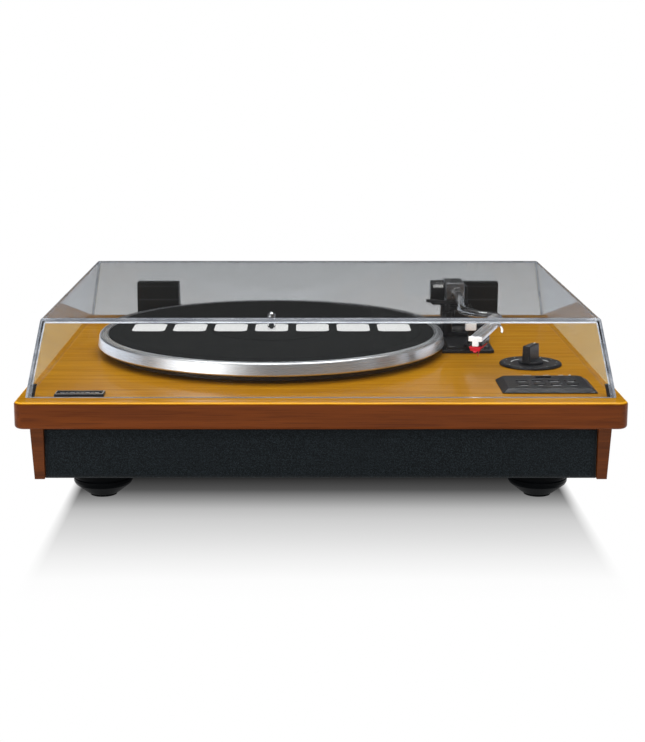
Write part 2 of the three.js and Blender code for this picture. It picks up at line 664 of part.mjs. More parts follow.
// The hinge's lower half fills a notch in the plinth's rear edge; its ears hold the pin.
function hingeBase([side, sign]) {
  const centre = sign * HINGE.x;
  const half = HINGE.width / 2;
  const ears = [-1, 1].map((end) => {
    const inner = centre + end * (half - 5);
    const outer = centre + end * half;
    return box(Math.min(inner, outer), Math.max(inner, outer), 179.4, 185, DECK - 1, hingeZ + 3.6);
  });
  const block = box(centre - half, centre + half, HINGE.notch + GAP, 185, DECK - 19.5, DECK + 0.4);
  const pin = rodX(HINGE.y + 1.2, hingeZ, 1.6, centre - half + 1, centre + half - 1, 16);
  return piece(`hinge_base_${side}`, join(block, ...ears, pin), BLACK_PLASTIC);
}

// The upper half is a block inside the cover's rear wall, with a knuckle through the wall's notch.
function hingeLeaf([side, sign]) {
  const centre = sign * HINGE.x;
  const half = HINGE.width / 2;
  const wallFace = (height) => coverSection(height, COVER.wall + GAP)[2];
  const block = tapered(
    [centre - half, centre + half, HINGE.blockFront, wallFace(1), DECK + 1],
    [centre - half, centre + half, HINGE.blockFront, wallFace(HINGE.blockTop), DECK + HINGE.blockTop]);
  const reach = half - 5.5;
  const tongue = box(centre - reach, centre + reach, 170, HINGE.y + 1.2, hingeZ - 1.8, hingeZ + 3);
  const knuckle = rodX(HINGE.y + 1.2, hingeZ, 3.1, centre - reach, centre + reach, 20);
  const bore = rodX(HINGE.y + 1.2, hingeZ, 1.9, centre - half, centre + half, 16);
  return piece(`hinge_leaf_${side}`, cut(join(block, tongue, knuckle), bore), BLACK_PLASTIC);
}

// Rubber strips inside the front corners, which the closed cover stands on.
function coverBumper([side, sign]) {
  const strip = (height) => {
    const [halfWidth, front] = coverSection(height, COVER.wall + GAP);
    return [...mirrored(sign, halfWidth - 3, halfWidth), front, front + 4, DECK + height];
  };
  return piece(`cover_bumper_${side}`, tapered(strip(GAP), strip(9.2)), RUBBER);
}

const cover = assembly(dustCover(), ...SIDES.map(hingeLeaf), ...SIDES.map(coverBumper));

// ---------------------------------------------------------------- the whole player
export default assembly(
  cabinet, drive, motorPulley(), turning, armBase, tonearmYoke(), arm, armControls, controls,
  ...SIDES.map(hingeBase), cover);
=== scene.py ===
import math

import bmesh
import bpy
from mathutils import Matrix, Vector

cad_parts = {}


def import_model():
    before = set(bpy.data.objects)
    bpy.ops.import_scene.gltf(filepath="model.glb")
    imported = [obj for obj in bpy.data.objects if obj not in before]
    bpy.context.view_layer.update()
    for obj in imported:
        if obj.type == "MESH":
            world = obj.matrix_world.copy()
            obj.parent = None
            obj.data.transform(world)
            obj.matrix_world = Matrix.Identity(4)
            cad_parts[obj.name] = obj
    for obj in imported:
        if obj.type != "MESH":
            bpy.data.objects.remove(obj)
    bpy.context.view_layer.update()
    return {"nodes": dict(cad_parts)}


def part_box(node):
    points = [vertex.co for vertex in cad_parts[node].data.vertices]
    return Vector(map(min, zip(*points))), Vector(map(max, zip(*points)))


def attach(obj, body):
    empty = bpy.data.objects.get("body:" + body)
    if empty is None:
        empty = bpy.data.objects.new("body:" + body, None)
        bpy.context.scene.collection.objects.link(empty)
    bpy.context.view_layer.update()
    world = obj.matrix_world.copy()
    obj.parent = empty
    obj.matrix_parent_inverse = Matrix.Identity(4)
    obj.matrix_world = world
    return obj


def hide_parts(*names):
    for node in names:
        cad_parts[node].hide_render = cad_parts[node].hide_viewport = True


# Turntable record player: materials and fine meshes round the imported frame.

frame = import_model()

MM = 0.001
SIDES = ("left", "right")
scene = bpy.context.scene


def centre(node):
    low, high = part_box(node)
    return (Vector(low) + Vector(high)) / 2


def box_mm(node):
    """A CAD node's lower and upper corner, in millimetres."""
    return [tuple(c / MM for c in corner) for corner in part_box(node)]


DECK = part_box("plinth_board")[1][2]  # height of the plinth's top face
PLATTER = centre("platter")
KNOB = centre("knob_escutcheon")


def above_deck(x, y, height):
    """A place given in millimetres, its height from the plinth's top face."""
    return Vector((x, y, height)) * MM + Vector((0, 0, DECK))


def on_deck(height):
    """A height in metres, as millimetres above the plinth's top face."""
    return (height - DECK) / MM


def mm(*points):
    """Points given in millimetres, in metres."""
    return [Vector(p) * MM for p in points]


# ---- mesh helpers
def make(name, bm, material, body="base", replaces=(), sharp=32):
    """Turns a bmesh into a piece that rides on a body; sharp is in degrees."""
    bmesh.ops.remove_doubles(bm, verts=bm.verts, dist=1e-6)
    bmesh.ops.recalc_face_normals(bm, faces=bm.faces)
    mesh = bpy.data.meshes.new(name)
    bm.to_mesh(mesh)
    bm.free()
    mesh.materials.append(material)
    for face in mesh.polygons:
        face.use_smooth = True
    mesh.set_sharp_from_angle(angle=math.radians(sharp))
    piece = bpy.data.objects.new(name, mesh)
    scene.collection.objects.link(piece)
    normals = piece.modifiers.new("normals", "WEIGHTED_NORMAL")
    normals.weight = 100
    normals.keep_sharp = True
    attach(piece, body)
    if replaces:
        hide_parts(*replaces)
    return piece


def rings_to_mesh(rings, loop=False):
    """Joins equal rings of points with faces, and closes the ends or joins them too."""
    bm = bmesh.new()
    rows = [[bm.verts.new(point) for point in ring] for ring in rings]
    pairs = list(zip(rows, rows[1:]))
    if loop:
        pairs.append((rows[-1], rows[0]))
    for a, b in pairs:
        for i in range(len(a)):
            j = (i + 1) % len(a)
            bm.faces.new((a[i], a[j], b[j], b[i]))
    if not loop:
        bm.faces.new(list(reversed(rows[0])))
        bm.faces.new(rows[-1])
    return bm


def fillet(points, radius, steps=3, closed=False):
    """A polyline's corners, each cut back by up to radius and rounded."""
    points = [Vector(p) for p in points]
    count = len(points)
    out = []
    for i, p in enumerate(points):
        if not closed and i in (0, count - 1):
            out.append(p)
            continue
        before, after = points[i - 1], points[(i + 1) % count]
        a = min(radius, (before - p).length * 0.45)
        b = min(radius, (after - p).length * 0.45)
        start = p + (before - p).normalized() * a
        end = p + (after - p).normalized() * b
        for k in range(steps + 1):
            t = k / steps
            out.append(start * (1 - t) ** 2 + p * 2 * t * (1 - t) + end * t * t)
    return out


def turned(profile, place, sides, closed=False, axis="Z"):
    """A turned piece: profile is (radius, height) in mm, place its zero in metres."""
    turn = {"Z": Matrix(), "X": Matrix.Rotation(math.pi / 2, 4, "Y"),
            "Y": Matrix.Rotation(-math.pi / 2, 4, "X")}[axis]
    rings = [[turn @ (Vector((x, y, height)) * MM) + place
              for x, y in circle(max(radius, 1e-4), sides)] for radius, height in profile]
    return rings_to_mesh(rings, closed)


def box_mesh(low, high, radius=0.0, segments=3):
    """A box between two corners in metres, with its edges rounded by radius in mm."""
    x0, y0, z0 = low
    x1, y1, z1 = high
    return hexahedron(
        [(x0, y0, z0), (x1, y0, z0), (x1, y1, z0), (x0, y1, z0)],
        [(x0, y0, z1), (x1, y0, z1), (x1, y1, z1), (x0, y1, z1)], radius, segments)


def hexahedron(lower, upper, radius=0.0, segments=3, keep=None):
    """Six faces between two four-sided rings; keep picks the edges to round."""
    bm = rings_to_mesh([lower, upper])
    if radius:
        edges = [e for e in bm.edges if keep is None or keep(e)]
        bmesh.ops.bevel(bm, geom=edges, offset=radius * MM, segments=segments, profile=0.5,
                        affect="EDGES", clamp_overlap=True)
    return bm


def block(low, high, radius=0.0):
    """A box between two places in mm, their heights from the deck."""
    return box_mesh(above_deck(*low), above_deck(*high), radius)


def stack(outline, *levels, loop=False):
    """A solid through outline(inset) at each level, which is (inset, height above the deck)."""
    return rings_to_mesh([[above_deck(x, y, height) for x, y in outline(inset)]
                          for inset, height in levels], loop)


def trapezium(front, back):
    """Four corners, even about x = 0: each end is (half width, y, z) in mm."""
    (w0, y0, z0), (w1, y1, z1) = front, back
    return mm((-w0, y0, z0), (w0, y0, z0), (w1, y1, z1), (-w1, y1, z1))


def quarter(radius, steps):
    """A rounded rim as pairs of inset and drop, from the side face to the top face."""
    angles = [math.pi / 2 * k / steps for k in range(steps + 1)]
    return [(radius * (1 - math.cos(a)), radius * (1 - math.sin(a))) for a in angles]


def prism(outline, low, high, radius=0.0, steps=3):
    """A plate between two heights in mm above the deck, with a rounded upper rim."""
    rim = quarter(radius, steps) if radius else [(0, 0)]
    return stack(outline, (0, low), *((inset, high - drop) for inset, drop in rim))


def arc(x, y, radius, start, end, steps=8):
    """Points of an arc, angles in degrees."""
    angles = [math.radians(start + (end - start) * k / steps) for k in range(steps + 1)]
    return [(x + radius * math.cos(a), y + radius * math.sin(a)) for a in angles]


def rounded_rect(x0, x1, y0, y1, corner, steps=8):
    """Gives a function: the rectangle's outline, drawn in by an inset, all in mm."""
    def outline(inset):
        r = max(corner - inset, 0.05)
        a, b, c, d = x0 + inset, x1 - inset, y0 + inset, y1 - inset
        return (arc(b - r, c + r, r, -90, 0, steps) + arc(b - r, d - r, r, 0, 90, steps)
                + arc(a + r, d - r, r, 90, 180, steps) + arc(a + r, c + r, r, 180, 270, steps))
    return outline


def sweep(path, section):
    """A bar along a path in metres; section is a list of (sideways, up) in mm."""
    rings = []
    for i, p in enumerate(path):
        ahead = (path[min(i + 1, len(path) - 1)] - path[max(i - 1, 0)]).normalized()
        side = ahead.cross(Vector((0, 0, 1))).normalized()
        up = side.cross(ahead).normalized()
        rings.append([p + (side * a + up * b) * MM for a, b in section])
    return rings_to_mesh(rings)


def circle(radius, sides):
    return arc(0, 0, radius, 0, 360, sides)[:-1]


def smooth_path(points, steps):
    """A Catmull-Rom curve through the points."""
    points = [Vector(p) for p in points]
    ends = [points[0] * 2 - points[1]] + points + [points[-1] * 2 - points[-2]]
    out = []
    for a, b, c, d in zip(ends, ends[1:], ends[2:], ends[3:]):
        for k in range(steps):
            t = k / steps
            out.append(0.5 * (2 * b + (c - a) * t + (2 * a - 5 * b + 4 * c - d) * t * t
                              + (3 * b - a - 3 * c + d) * t ** 3))
    return out + [points[-1]]


def merge(*meshes):
    """Several bmeshes in one."""
    whole = meshes[0]
    for other in meshes[1:]:
        mesh = bpy.data.meshes.new("part")
        other.to_mesh(mesh)
        other.free()
        whole.from_mesh(mesh)
        bpy.data.meshes.remove(mesh)
    return whole


def moved(matrix, *meshes):
    """Several bmeshes in one, put into place."""
    bm = merge(*meshes)
    bmesh.ops.transform(bm, matrix=matrix, verts=bm.verts)
    return bm


def boolean(base, *tools):
    """Cuts tools from a bmesh and gives the new bmesh."""
    pieces = []
    for bm in (base, *tools):
        bmesh.ops.recalc_face_normals(bm, faces=bm.faces)
        mesh = bpy.data.meshes.new("cut")
        bm.to_mesh(mesh)
        bm.free()
        pieces.append(bpy.data.objects.new("cut", mesh))
        scene.collection.objects.link(pieces[-1])
    target = pieces[0]
    for cutter in pieces[1:]:
        modifier = target.modifiers.new("cut", "BOOLEAN")
        modifier.operation = "DIFFERENCE"
        modifier.solver = "EXACT"
        modifier.object = cutter
    shaped = target.evaluated_get(bpy.context.evaluated_depsgraph_get())
    result = bmesh.new()
    result.from_mesh(shaped.to_mesh())
    shaped.to_mesh_clear()
    for piece in pieces:
        mesh = piece.data
        bpy.data.objects.remove(piece)
        bpy.data.meshes.remove(mesh)
    return result


# ---- material helpers
def rgb(red, green, blue):
    """A colour given as 0-255 screen values."""
    def channel(value):
        c = value / 255
        return c / 12.92 if c <= 0.04045 else ((c + 0.055) / 1.055) ** 2.4
    return (channel(red), channel(green), channel(blue), 1.0)


WHITE = (1.0, 1.0, 1.0, 1.0)


class Nodes:
    """Short ways to add nodes to a tree and to join them."""

    def __init__(self, tree):
        self.tree = tree

    def put(self, socket, value):
        if isinstance(value, bpy.types.NodeSocket):
            self.tree.links.new(value, socket)
        else:
            socket.default_value = value

    def add(self, kind, inputs=(), **settings):
        node = self.tree.nodes.new(kind)
        for key, value in settings.items():
            setattr(node, key, value)
        for key, value in dict(inputs).items():
            self.put(node.inputs[key], value)
        return node

    def ramp(self, value, *stops):
        """Colours or greys along a value: stops are (position, colour or grey)."""
        node = self.add("ShaderNodeValToRGB", {"Fac": value})
        elements = node.color_ramp.elements
        for i, (position, colour) in enumerate(stops):
            element = elements[i] if i < 2 else elements.new(position)
            element.position = position
            element.color = colour if isinstance(colour, tuple) else (colour, colour, colour, 1)
        return node.outputs["Color"]

    def mix(self, factor, a, b, blend="MIX"):
        inputs = {"Factor": factor, 6: a, 7: b}
        return self.add("ShaderNodeMix", inputs, data_type="RGBA", blend_type=blend).outputs[2]

    def split(self, vector):
        """A vector's X, Y and Z outputs."""
        return self.add("ShaderNodeSeparateXYZ", {0: vector}).outputs

    def vector(self, operation, *values, output="Vector"):
        node = self.add("ShaderNodeVectorMath", dict(enumerate(values)), operation=operation)
        return node.outputs[output]

    def span(self, value, low, high):
        """A value's place between two others, from 0 to 1."""
        inputs = {"Value": value, "From Min": low, "From Max": high}
        return self.add("ShaderNodeMapRange", inputs).outputs[0]

    def math(self, operation, *values):
        return self.add("ShaderNodeMath", dict(enumerate(values)), operation=operation).outputs[0]


class Surface(Nodes):
    """A Principled material."""

    def __init__(self, name, **values):
        self.material = bpy.data.materials.new(name)
        self.material.use_nodes = True
        super().__init__(self.material.node_tree)
        self.shader = self.tree.nodes["Principled BSDF"]
        self.place = self.add("ShaderNodeTexCoord").outputs["Object"]
        self.set(**values)

    def set(self, **values):
        for key, value in values.items():
            self.put(self.shader.inputs[key.replace("_", " ")], value)
        return self.material

    def noise(self, scale, detail=3.0, roughness=0.55, distortion=0.0):
        """Noise of one scale, or with a scale for each axis."""
        place = self.place
        if isinstance(scale, tuple):
            mapping = self.add("ShaderNodeMapping", {"Vector": place, "Scale": scale})
            place, scale = mapping.outputs[0], 1.0
        inputs = {"Vector": place, "Scale": scale, "Detail": detail, "Roughness": roughness,
                  "Distortion": distortion}
        return self.add("ShaderNodeTexNoise", inputs).outputs["Fac"]

    def bump(self, height, strength, distance, normal=None):
        inputs = {"Height": height, "Strength": strength, "Distance": distance * MM}
        if normal is not None:
            inputs["Normal"] = normal
        return self.add("ShaderNodeBump", inputs).outputs[0]

    def radius_from(self, middle):
        """Distance from an upright axis."""
        offset = self.vector("SUBTRACT", self.place, (middle.x, middle.y, 0))
        return self.vector("LENGTH", self.vector("MULTIPLY", offset, (1, 1, 0)), output="Value")


# ---- materials
def wood(name, light, middle, dark, shaded_side_light, shaded_side_dark, edge_highlight_colour):
    """Lacquered veneer, its grain along the piece; upright faces take a darker colour as painted
    shade, and the rounded edges a lighter band as a painted highlight.
    """
    s = Surface(name, Coat_Weight=0.45, Coat_Roughness=0.12, Coat_IOR=1.35, Specular_IOR_Level=0.03)
    normal = s.split(s.add("ShaderNodeNewGeometry").outputs["Normal"])
    x, y, z = s.split(s.place)
    across = s.add("ShaderNodeCombineXYZ", {0: y, 1: x, 2: z}).outputs[0]
    sideways = s.math("GREATER_THAN", s.math("ABSOLUTE", normal["X"]), 0.6)
    s.place = s.mix(sideways, s.place, across)
    figure = s.noise((3, 80, 80), 4.0, 0.6, 0.4)
    streaks = s.noise((9, 260, 260), 4.0, 0.6, 0.2)
    pores = s.noise((26, 1150, 1150), 3.0, 0.5)
    tone = s.math("ADD", s.math("MULTIPLY", figure, 0.4), s.math("MULTIPLY", streaks, 0.6))
    top = s.ramp(tone, (0.34, dark), (0.5, middle), (0.66, light))
    # painted shade: upright faces take a darker colour than the top, for the light from above that
    # they miss
    side = s.ramp(tone, (0.34, shaded_side_dark), (0.66, shaded_side_light))
    facing_up = s.ramp(normal["Z"], (0.3, 0.0), (0.7, 1.0))
    # painted highlight: a lighter band on the rounded edges between the top and the upright faces
    edge_highlight_mask = s.ramp(normal["Z"], (0.55, 0.0), (0.8, 0.75), (0.93, 0.75), (0.995, 0.0))
    colour = s.mix(edge_highlight_mask, s.mix(facing_up, side, top), edge_highlight_colour)
    pore_mask = s.ramp(pores, (0.32, 0.72), (0.46, 1.0))
    s.set(Base_Color=s.mix(1.0, colour, pore_mask, "MULTIPLY"))
    s.set(Roughness=s.ramp(streaks, (0.3, 0.42), (0.7, 0.3)))
    return s.set(Normal=s.bump(pores, 0.18, 0.08, s.bump(streaks, 0.12, 0.12)))


def plastic(name, colour, roughness, grain=0.25, grain_scale=1800.0, **more):
    """Moulded plastic with a fine grain and slightly uneven gloss."""
    s = Surface(name, **more)
    patches = s.noise(22.0)
    dark = tuple(c * 0.82 for c in colour[:3]) + (1.0,)
    s.set(Base_Color=s.ramp(patches, (0.35, dark), (0.65, colour)))
    s.set(Roughness=s.ramp(patches, (0.3, roughness * 0.88), (0.7, min(1.0, roughness * 1.12))))
    return s.set(Normal=s.bump(s.noise(grain_scale, 2.0), grain, 0.05))


def metal(name, colour, roughness, scratch=0.08):
    """Metal with fine lines drawn along X."""
    s = Surface(name, Metallic=1.0, Base_Color=colour)
    lines = s.noise((40, 1400, 1400), 3.0, 0.6)
    s.set(Roughness=s.ramp(lines, (0.3, roughness * 0.8), (0.7, roughness * 1.25)))
    return s.set(Normal=s.bump(lines, scratch, 0.02))


def turned_metal(name, colour, roughness, middle):
    """Metal turned on a lathe about an upright axis: fine rings on its top, lines round its rim."""
    s = Surface(name, Metallic=1.0, Anisotropic=0.3, Anisotropic_Rotation=0.25)
    radius = s.radius_from(middle)
    cloud = s.noise(18.0, 2.0)
    s.place = s.add("ShaderNodeCombineXYZ", {0: radius, 1: s.split(s.place)["Z"]}).outputs[0]
    lines = s.noise((2600, 2600, 1), 3.0, 0.6)
    dull = tuple(c * 0.93 for c in colour[:3]) + (1.0,)
    s.set(Base_Color=s.ramp(cloud, (0.3, dull), (0.7, colour)))
    s.set(Roughness=s.ramp(lines, (0.25, roughness * 0.75), (0.75, roughness * 1.3)))
    s.set(Normal=s.bump(lines, 0.05, 0.01))
    return s.set(Tangent=s.add("ShaderNodeTangent", direction_type="RADIAL", axis="Z").outputs[0])


def cloth():
    """Speaker cloth: a fine two-way weave with lighter threads here and there."""
    s = Surface("grille_weave", Roughness=0.85, Sheen_Weight=0.08, Sheen_Roughness=0.5,
                Specular_IOR_Level=0.15)
    thread = 1.05 * MM
    frequency = 2 * math.pi / (20 * thread)  # a wave texture repeats 20 times in 2 pi / scale
    stray = s.add("ShaderNodeTexNoise", {"Vector": s.place, "Scale": 260.0, "Detail": 2.0})
    shift = s.vector("MULTIPLY", stray.outputs["Color"], (4e-4, 4e-4, 4e-4))
    wobble = s.vector("ADD", s.place, shift)
    waves = [s.add("ShaderNodeTexWave", {"Vector": wobble, "Scale": frequency},
                   bands_direction=axis).outputs["Fac"] for axis in ("X", "Z")]
    weave = s.math("MULTIPLY", *waves)
    speckle = s.noise(2100.0, 2.0, 0.7)
    dark, mid, light = rgb(4, 7, 9), rgb(16, 21, 24), rgb(40, 48, 52)
    colour = s.mix(s.ramp(weave, (0.1, 0.0), (0.75, 1.0)), dark, mid)
    s.set(Base_Color=s.mix(s.ramp(speckle, (0.5, 0.0), (0.63, 0.9)), colour, light))
    return s.set(Normal=s.bump(weave, 0.6, 0.35, s.bump(speckle, 0.3, 0.2)))


def hinge_plastic(name, low, high):
    """Black plastic with two moulded lines across it, between two heights; the lines are also
    painted lighter as a painted highlight.
    """
    s = Surface(name, Specular_IOR_Level=0.3)
    level = s.span(s.split(s.place)["Z"], low, high)
    # painted highlight: the lines are painted a lighter grey as well as bumped
    line = s.ramp(level, (0.0, 0.0), (0.50, 0.0), (0.53, 0.8), (0.56, 0.0), (0.87, 0.0),
                  (0.90, 0.5), (0.93, 0.0))
    patches = s.noise(30.0, 3.0)
    black = s.ramp(patches, (0.35, rgb(7, 9, 10)), (0.65, rgb(11, 13, 14)))
    s.set(Base_Color=s.mix(line, black, rgb(66, 70, 72)))
    s.set(Roughness=s.ramp(patches, (0.3, 0.34), (0.7, 0.44)))
    return s.set(Normal=s.bump(line, 0.4, 0.3, s.bump(s.noise(1500.0, 2.0), 0.2, 0.05)))


def felt():
    """Pressed felt: short fibres in every direction, a little dust-grey."""
    s = Surface("pressed_felt", Roughness=0.95, Sheen_Weight=0.03, Sheen_Roughness=0.45,
                Specular_IOR_Level=0.05)
    fibres = s.noise(1100.0, 5.0, 0.75, distortion=1.2)
    patches = s.noise(45.0, 4.0, 0.6)
    base = s.ramp(patches, (0.3, rgb(13, 14, 14)), (0.7, rgb(20, 21, 21)))
    dusty = s.ramp(fibres, (0.5, 0.0), (0.68, 0.55))
    s.set(Base_Color=s.mix(dusty, base, rgb(66, 69, 70)))
    return s.set(Normal=s.bump(fibres, 0.55, 0.3))


def acrylic():
    """Clear cast acrylic, polished."""
    s = Surface("clear_acrylic", Transmission_Weight=1.0, IOR=1.49,
                Base_Color=(0.985, 0.99, 0.995, 1.0))
    smears = s.noise(7.0, 4.0, 0.6, distortion=1.0)
    return s.set(Roughness=s.ramp(smears, (0.45, 0.0), (0.8, 0.035)))


def acrylic_edge():
    """The cover's rounded and sawn edges, with a faint painted glow standing in for the light
    carried inside the sheet.
    """
    s = Surface("clear_acrylic_edge", Transmission_Weight=0.8, IOR=1.3, Roughness=0.12,
                Emission_Strength=0.05)
    streaks = s.noise((30, 30, 160), 3.0, 0.6)
    dim, clear = (0.36, 0.39, 0.45, 1), (0.80, 0.84, 0.90, 1)
    s.set(Base_Color=s.ramp(streaks, (0.3, dim), (0.7, clear)))
    # painted light: a faint emission along the edges, lighter in streaks
    return s.set(Emission_Color=s.ramp(streaks, (0.35, (0.25, 0.27, 0.32, 1)), (0.65, WHITE)))


def circuit():
    s = Surface("lacquered_board", Roughness=0.45, Coat_Weight=0.3)
    tracks = s.add("ShaderNodeTexBrick", {
        "Vector": s.place, "Scale": 90.0, "Mortar Size": 0.03, "Color1": rgb(20, 70, 42),
        "Color2": rgb(26, 84, 50), "Mortar": rgb(52, 120, 74)})
    s.set(Base_Color=tracks.outputs["Color"])
    return s.set(Normal=s.bump(s.noise(700.0, 3.0), 0.3, 0.1))


def print_white():
    s = Surface("white_print", Roughness=0.6)
    worn, fresh = rgb(196, 197, 196), rgb(232, 232, 230)
    return s.set(Base_Color=s.ramp(s.noise(900.0, 2.0), (0.3, worn), (0.7, fresh)))


# the last three colours: the upright faces' painted shade, light and dark, then the rounded edges'
# painted highlight
DECK_WOOD = wood("honey_veneer", rgb(190, 136, 20), rgb(175, 119, 13), rgb(154, 101, 9),
                 rgb(106, 50, 7), rgb(80, 34, 2), rgb(235, 172, 44))
CHEEK_WOOD = wood("stained_cheek", rgb(110, 58, 20), rgb(94, 47, 15), rgb(78, 36, 10),
                  rgb(94, 46, 12), rgb(66, 30, 6), rgb(130, 72, 28))
PANEL_BLACK = plastic("painted_fibreboard", rgb(38, 35, 33), 0.75, 0.5, 600.0)
BLACK = plastic("black_moulding", rgb(22, 22, 24), 0.34, 0.15)
GLOSS_BLACK = plastic("gloss_black", rgb(16, 16, 18), 0.16, 0.06)
GREY = plastic("textured_grey", rgb(25, 26, 29), 0.42, 0.5, 1500.0, Specular_IOR_Level=0.35)
BUTTON = plastic("button_grey", rgb(14, 14, 16), 0.3, 0.2)
RUBBER = plastic("moulded_rubber", rgb(26, 26, 28), 0.62, 0.4, 900.0)
FOOT = plastic("foot_moulding", rgb(4, 5, 6), 0.24, 0.1, Specular_IOR_Level=0.04)
FOOT_TIP = plastic("foot_tip_rubber", rgb(12, 13, 14), 0.6, 0.4, 900.0, Specular_IOR_Level=0.1)
RED = plastic("red_moulding", rgb(205, 28, 50), 0.22, 0.05)
RED_RING = plastic("red_ring", rgb(170, 30, 32), 0.4, 0.05)
WHITE_RING = plastic("white_ring", rgb(225, 225, 222), 0.4, 0.05)
CONE = plastic("pressed_paper", rgb(36, 36, 37), 0.85, 0.8, 500.0)
ALUMINIUM = turned_metal("turned_aluminium", (0.90, 0.92, 0.94, 1), 0.27, PLATTER)
BLOCK_METAL = metal("drawn_aluminium", (0.44, 0.45, 0.47, 1), 0.3)
CHROME = metal("polished_chrome", (0.90, 0.905, 0.92, 1), 0.09, 0.02)
SATIN = metal("satin_silver", (0.86, 0.865, 0.88, 1), 0.3, 0.05)
BRIGHT = plastic("silver_paint", rgb(250, 251, 252), 0.3, 0.05)
STEEL = metal("plain_steel", (0.55, 0.56, 0.57, 1), 0.35)
BRASS = metal("turned_brass", (0.80, 0.58, 0.24, 1), 0.22)
GOLD = metal("gold_plate", (0.95, 0.74, 0.36, 1), 0.16)
CLOTH = cloth()
FELT = felt()
ACRYLIC = acrylic()
ACRYLIC_EDGE = acrylic_edge()
CIRCUIT = circuit()
PRINT = print_white()


def dress(material, *nodes, bevel=0.0):
    """Gives CAD nodes a material and rounds their edges, in mm."""
    for name in nodes:
        node = frame["nodes"][name]
        node.data.materials.clear()
        node.data.materials.append(material)
        if bevel:
            modifier = node.modifiers.new("edges", "BEVEL")
            modifier.width = bevel * MM
            modifier.segments = 2
            modifier.limit_method = "ANGLE"
            modifier.angle_limit = math.radians(50)
            modifier.harden_normals = True


# ---- plinth and cabinet
def plinth():
    """The slab and the openings through it."""
    z0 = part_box("plinth_board")[0][2]
    (x0, y0, _), (x1, y1, _) = box_mm("plinth_board")
    outline = rounded_rect(x0, x1, y0, y1, 8, 10)
    bottom = on_deck(z0)
    rim = quarter(2.4, 5)
    board = stack(outline, *((drop, bottom + inset) for inset, drop in rim),
                  *((inset, -drop) for inset, drop in rim))
    low, high = z0 - 0.01, DECK + 0.01
    cutters = []
    for side in SIDES:
        (a, b, _), (c, d, _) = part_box(f"hinge_base_{side}")
        cutters.append(box_mesh((a - MM, b - 0.3 * MM, low), (c + MM, d + 0.02, high)))
    (a, b, _), (c, d, _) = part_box("control_panel")
    ledge = 10 * MM
    cutters.append(box_mesh((a + ledge, b + ledge, low), (c - ledge, d - 0.35 * ledge, high)))
    for spot, radius in ((PLATTER, 9.5), (centre("motor_pulley"), 9), (KNOB, 4.5),
                         (centre("tonearm_pedestal"), 7)):
        cutters.append(turned([(radius, -10), (radius, 100)], Vector((spot.x, spot.y, low)), 48))
    make("plinth_slab", boolean(board, *cutters), DECK_WOOD, "base", ["plinth_board"])


def cabinet():
    dress(CHEEK_WOOD, "left_cheek", "right_cheek", bevel=1.0)
    dress(PANEL_BLACK, "front_baffle", "rear_panel", "bottom_board", bevel=0.5)
    dress(STEEL, "speaker_basket_left", "speaker_basket_right", "usb_socket", bevel=0.2)
    dress(CONE, "speaker_cone_left", "speaker_cone_right")
    dress(CIRCUIT, "circuit_board", bevel=0.2)
    dress(BLACK, "power_inlet", "phono_sockets", bevel=0.3)


def grille():
    """One sheet of cloth: flat across the front, turned back a little all round."""
    (x0, y0, z0), (x1, y1, z1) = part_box("grille_cloth")
    fall = 0.6 * (y1 - y0)  # how far back the cloth's edges lie
    border = 3 * MM
    columns, rows = 160, 16
    bm = bmesh.new()
    grid = []
    for j in range(rows + 1):
        line = []
        for i in range(columns + 1):
            x, z = x0 + (x1 - x0) * i / columns, z0 + (z1 - z0) * j / rows
            turn = max(0.0, 1 - min(x - x0, x1 - x, z - z0, z1 - z) / border)
            ripple = 0.06 * MM * math.sin(x / 0.021) * math.sin(math.pi * j / rows)
            line.append(bm.verts.new((x, y0 + 0.15 * MM + ripple + fall * turn ** 2, z)))
        grid.append(line)
    for j in range(rows):
        for i in range(columns):
            bm.faces.new((grid[j][i], grid[j][i + 1], grid[j + 1][i + 1], grid[j + 1][i]))
    piece = make("grille_cloth_sheet", bm, CLOTH, "base", ["grille_cloth"], 80)
    solid = piece.modifiers.new("thickness", "SOLIDIFY")
    solid.thickness = 0.35 * MM
    solid.offset = -1


def feet():
    """A waisted foot with a stepped collar, and its rubber tip."""
    profile = fillet([(0.01, 19), (21.6, 19), (22.2, 18.4), (22.2, 15.2), (21.7, 14.8),
                      (21.7, 14.2), (22.2, 13.8), (22.2, 11.4), (21.2, 9.4), (12.6, 2.6),
                      (11.3, 1.8), (0.01, 1.8)], 0.4)
    tip = fillet([(0.01, 0), (9.9, 0), (10.25, 0.5), (10.25, 2.1), (0.01, 2.1)], 0.25)
    for end in ("front", "rear"):
        for side in SIDES:
            node = f"foot_{end}_{side}"
            spot = centre(node)
            place = Vector((spot.x, spot.y, 0))
            make(f"{node}_body", turned(profile, place, 72), FOOT, "base", [node])
            make(f"{node}_tip", turned(tip, place, 48), FOOT_TIP, "base", [])


def rear_sockets():
    """Plated collars round the two phono barrels, on coloured rings."""
    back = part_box("phono_sockets")[1][1]
    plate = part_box("power_inlet")[1][1]
    length = (back - plate) / MM
    collar = [(4.15, 0.5), (4.6, 0.5), (4.6, length - 0.3), (4.3, length), (4.15, length)]
    washer = [(4.7, 0.02), (6.6, 0.02), (6.6, 0.5), (4.7, 0.5)]
    for x, name, ring in ((-140, "left", WHITE_RING), (-124, "right", RED_RING)):
        place = Vector((x * MM, plate, 39 * MM))
        make(f"phono_collar_{name}", turned(collar, place, 40, True, "Y"), GOLD)
        make(f"phono_ring_{name}", turned(washer, place, 40, True, "Y"), ring)


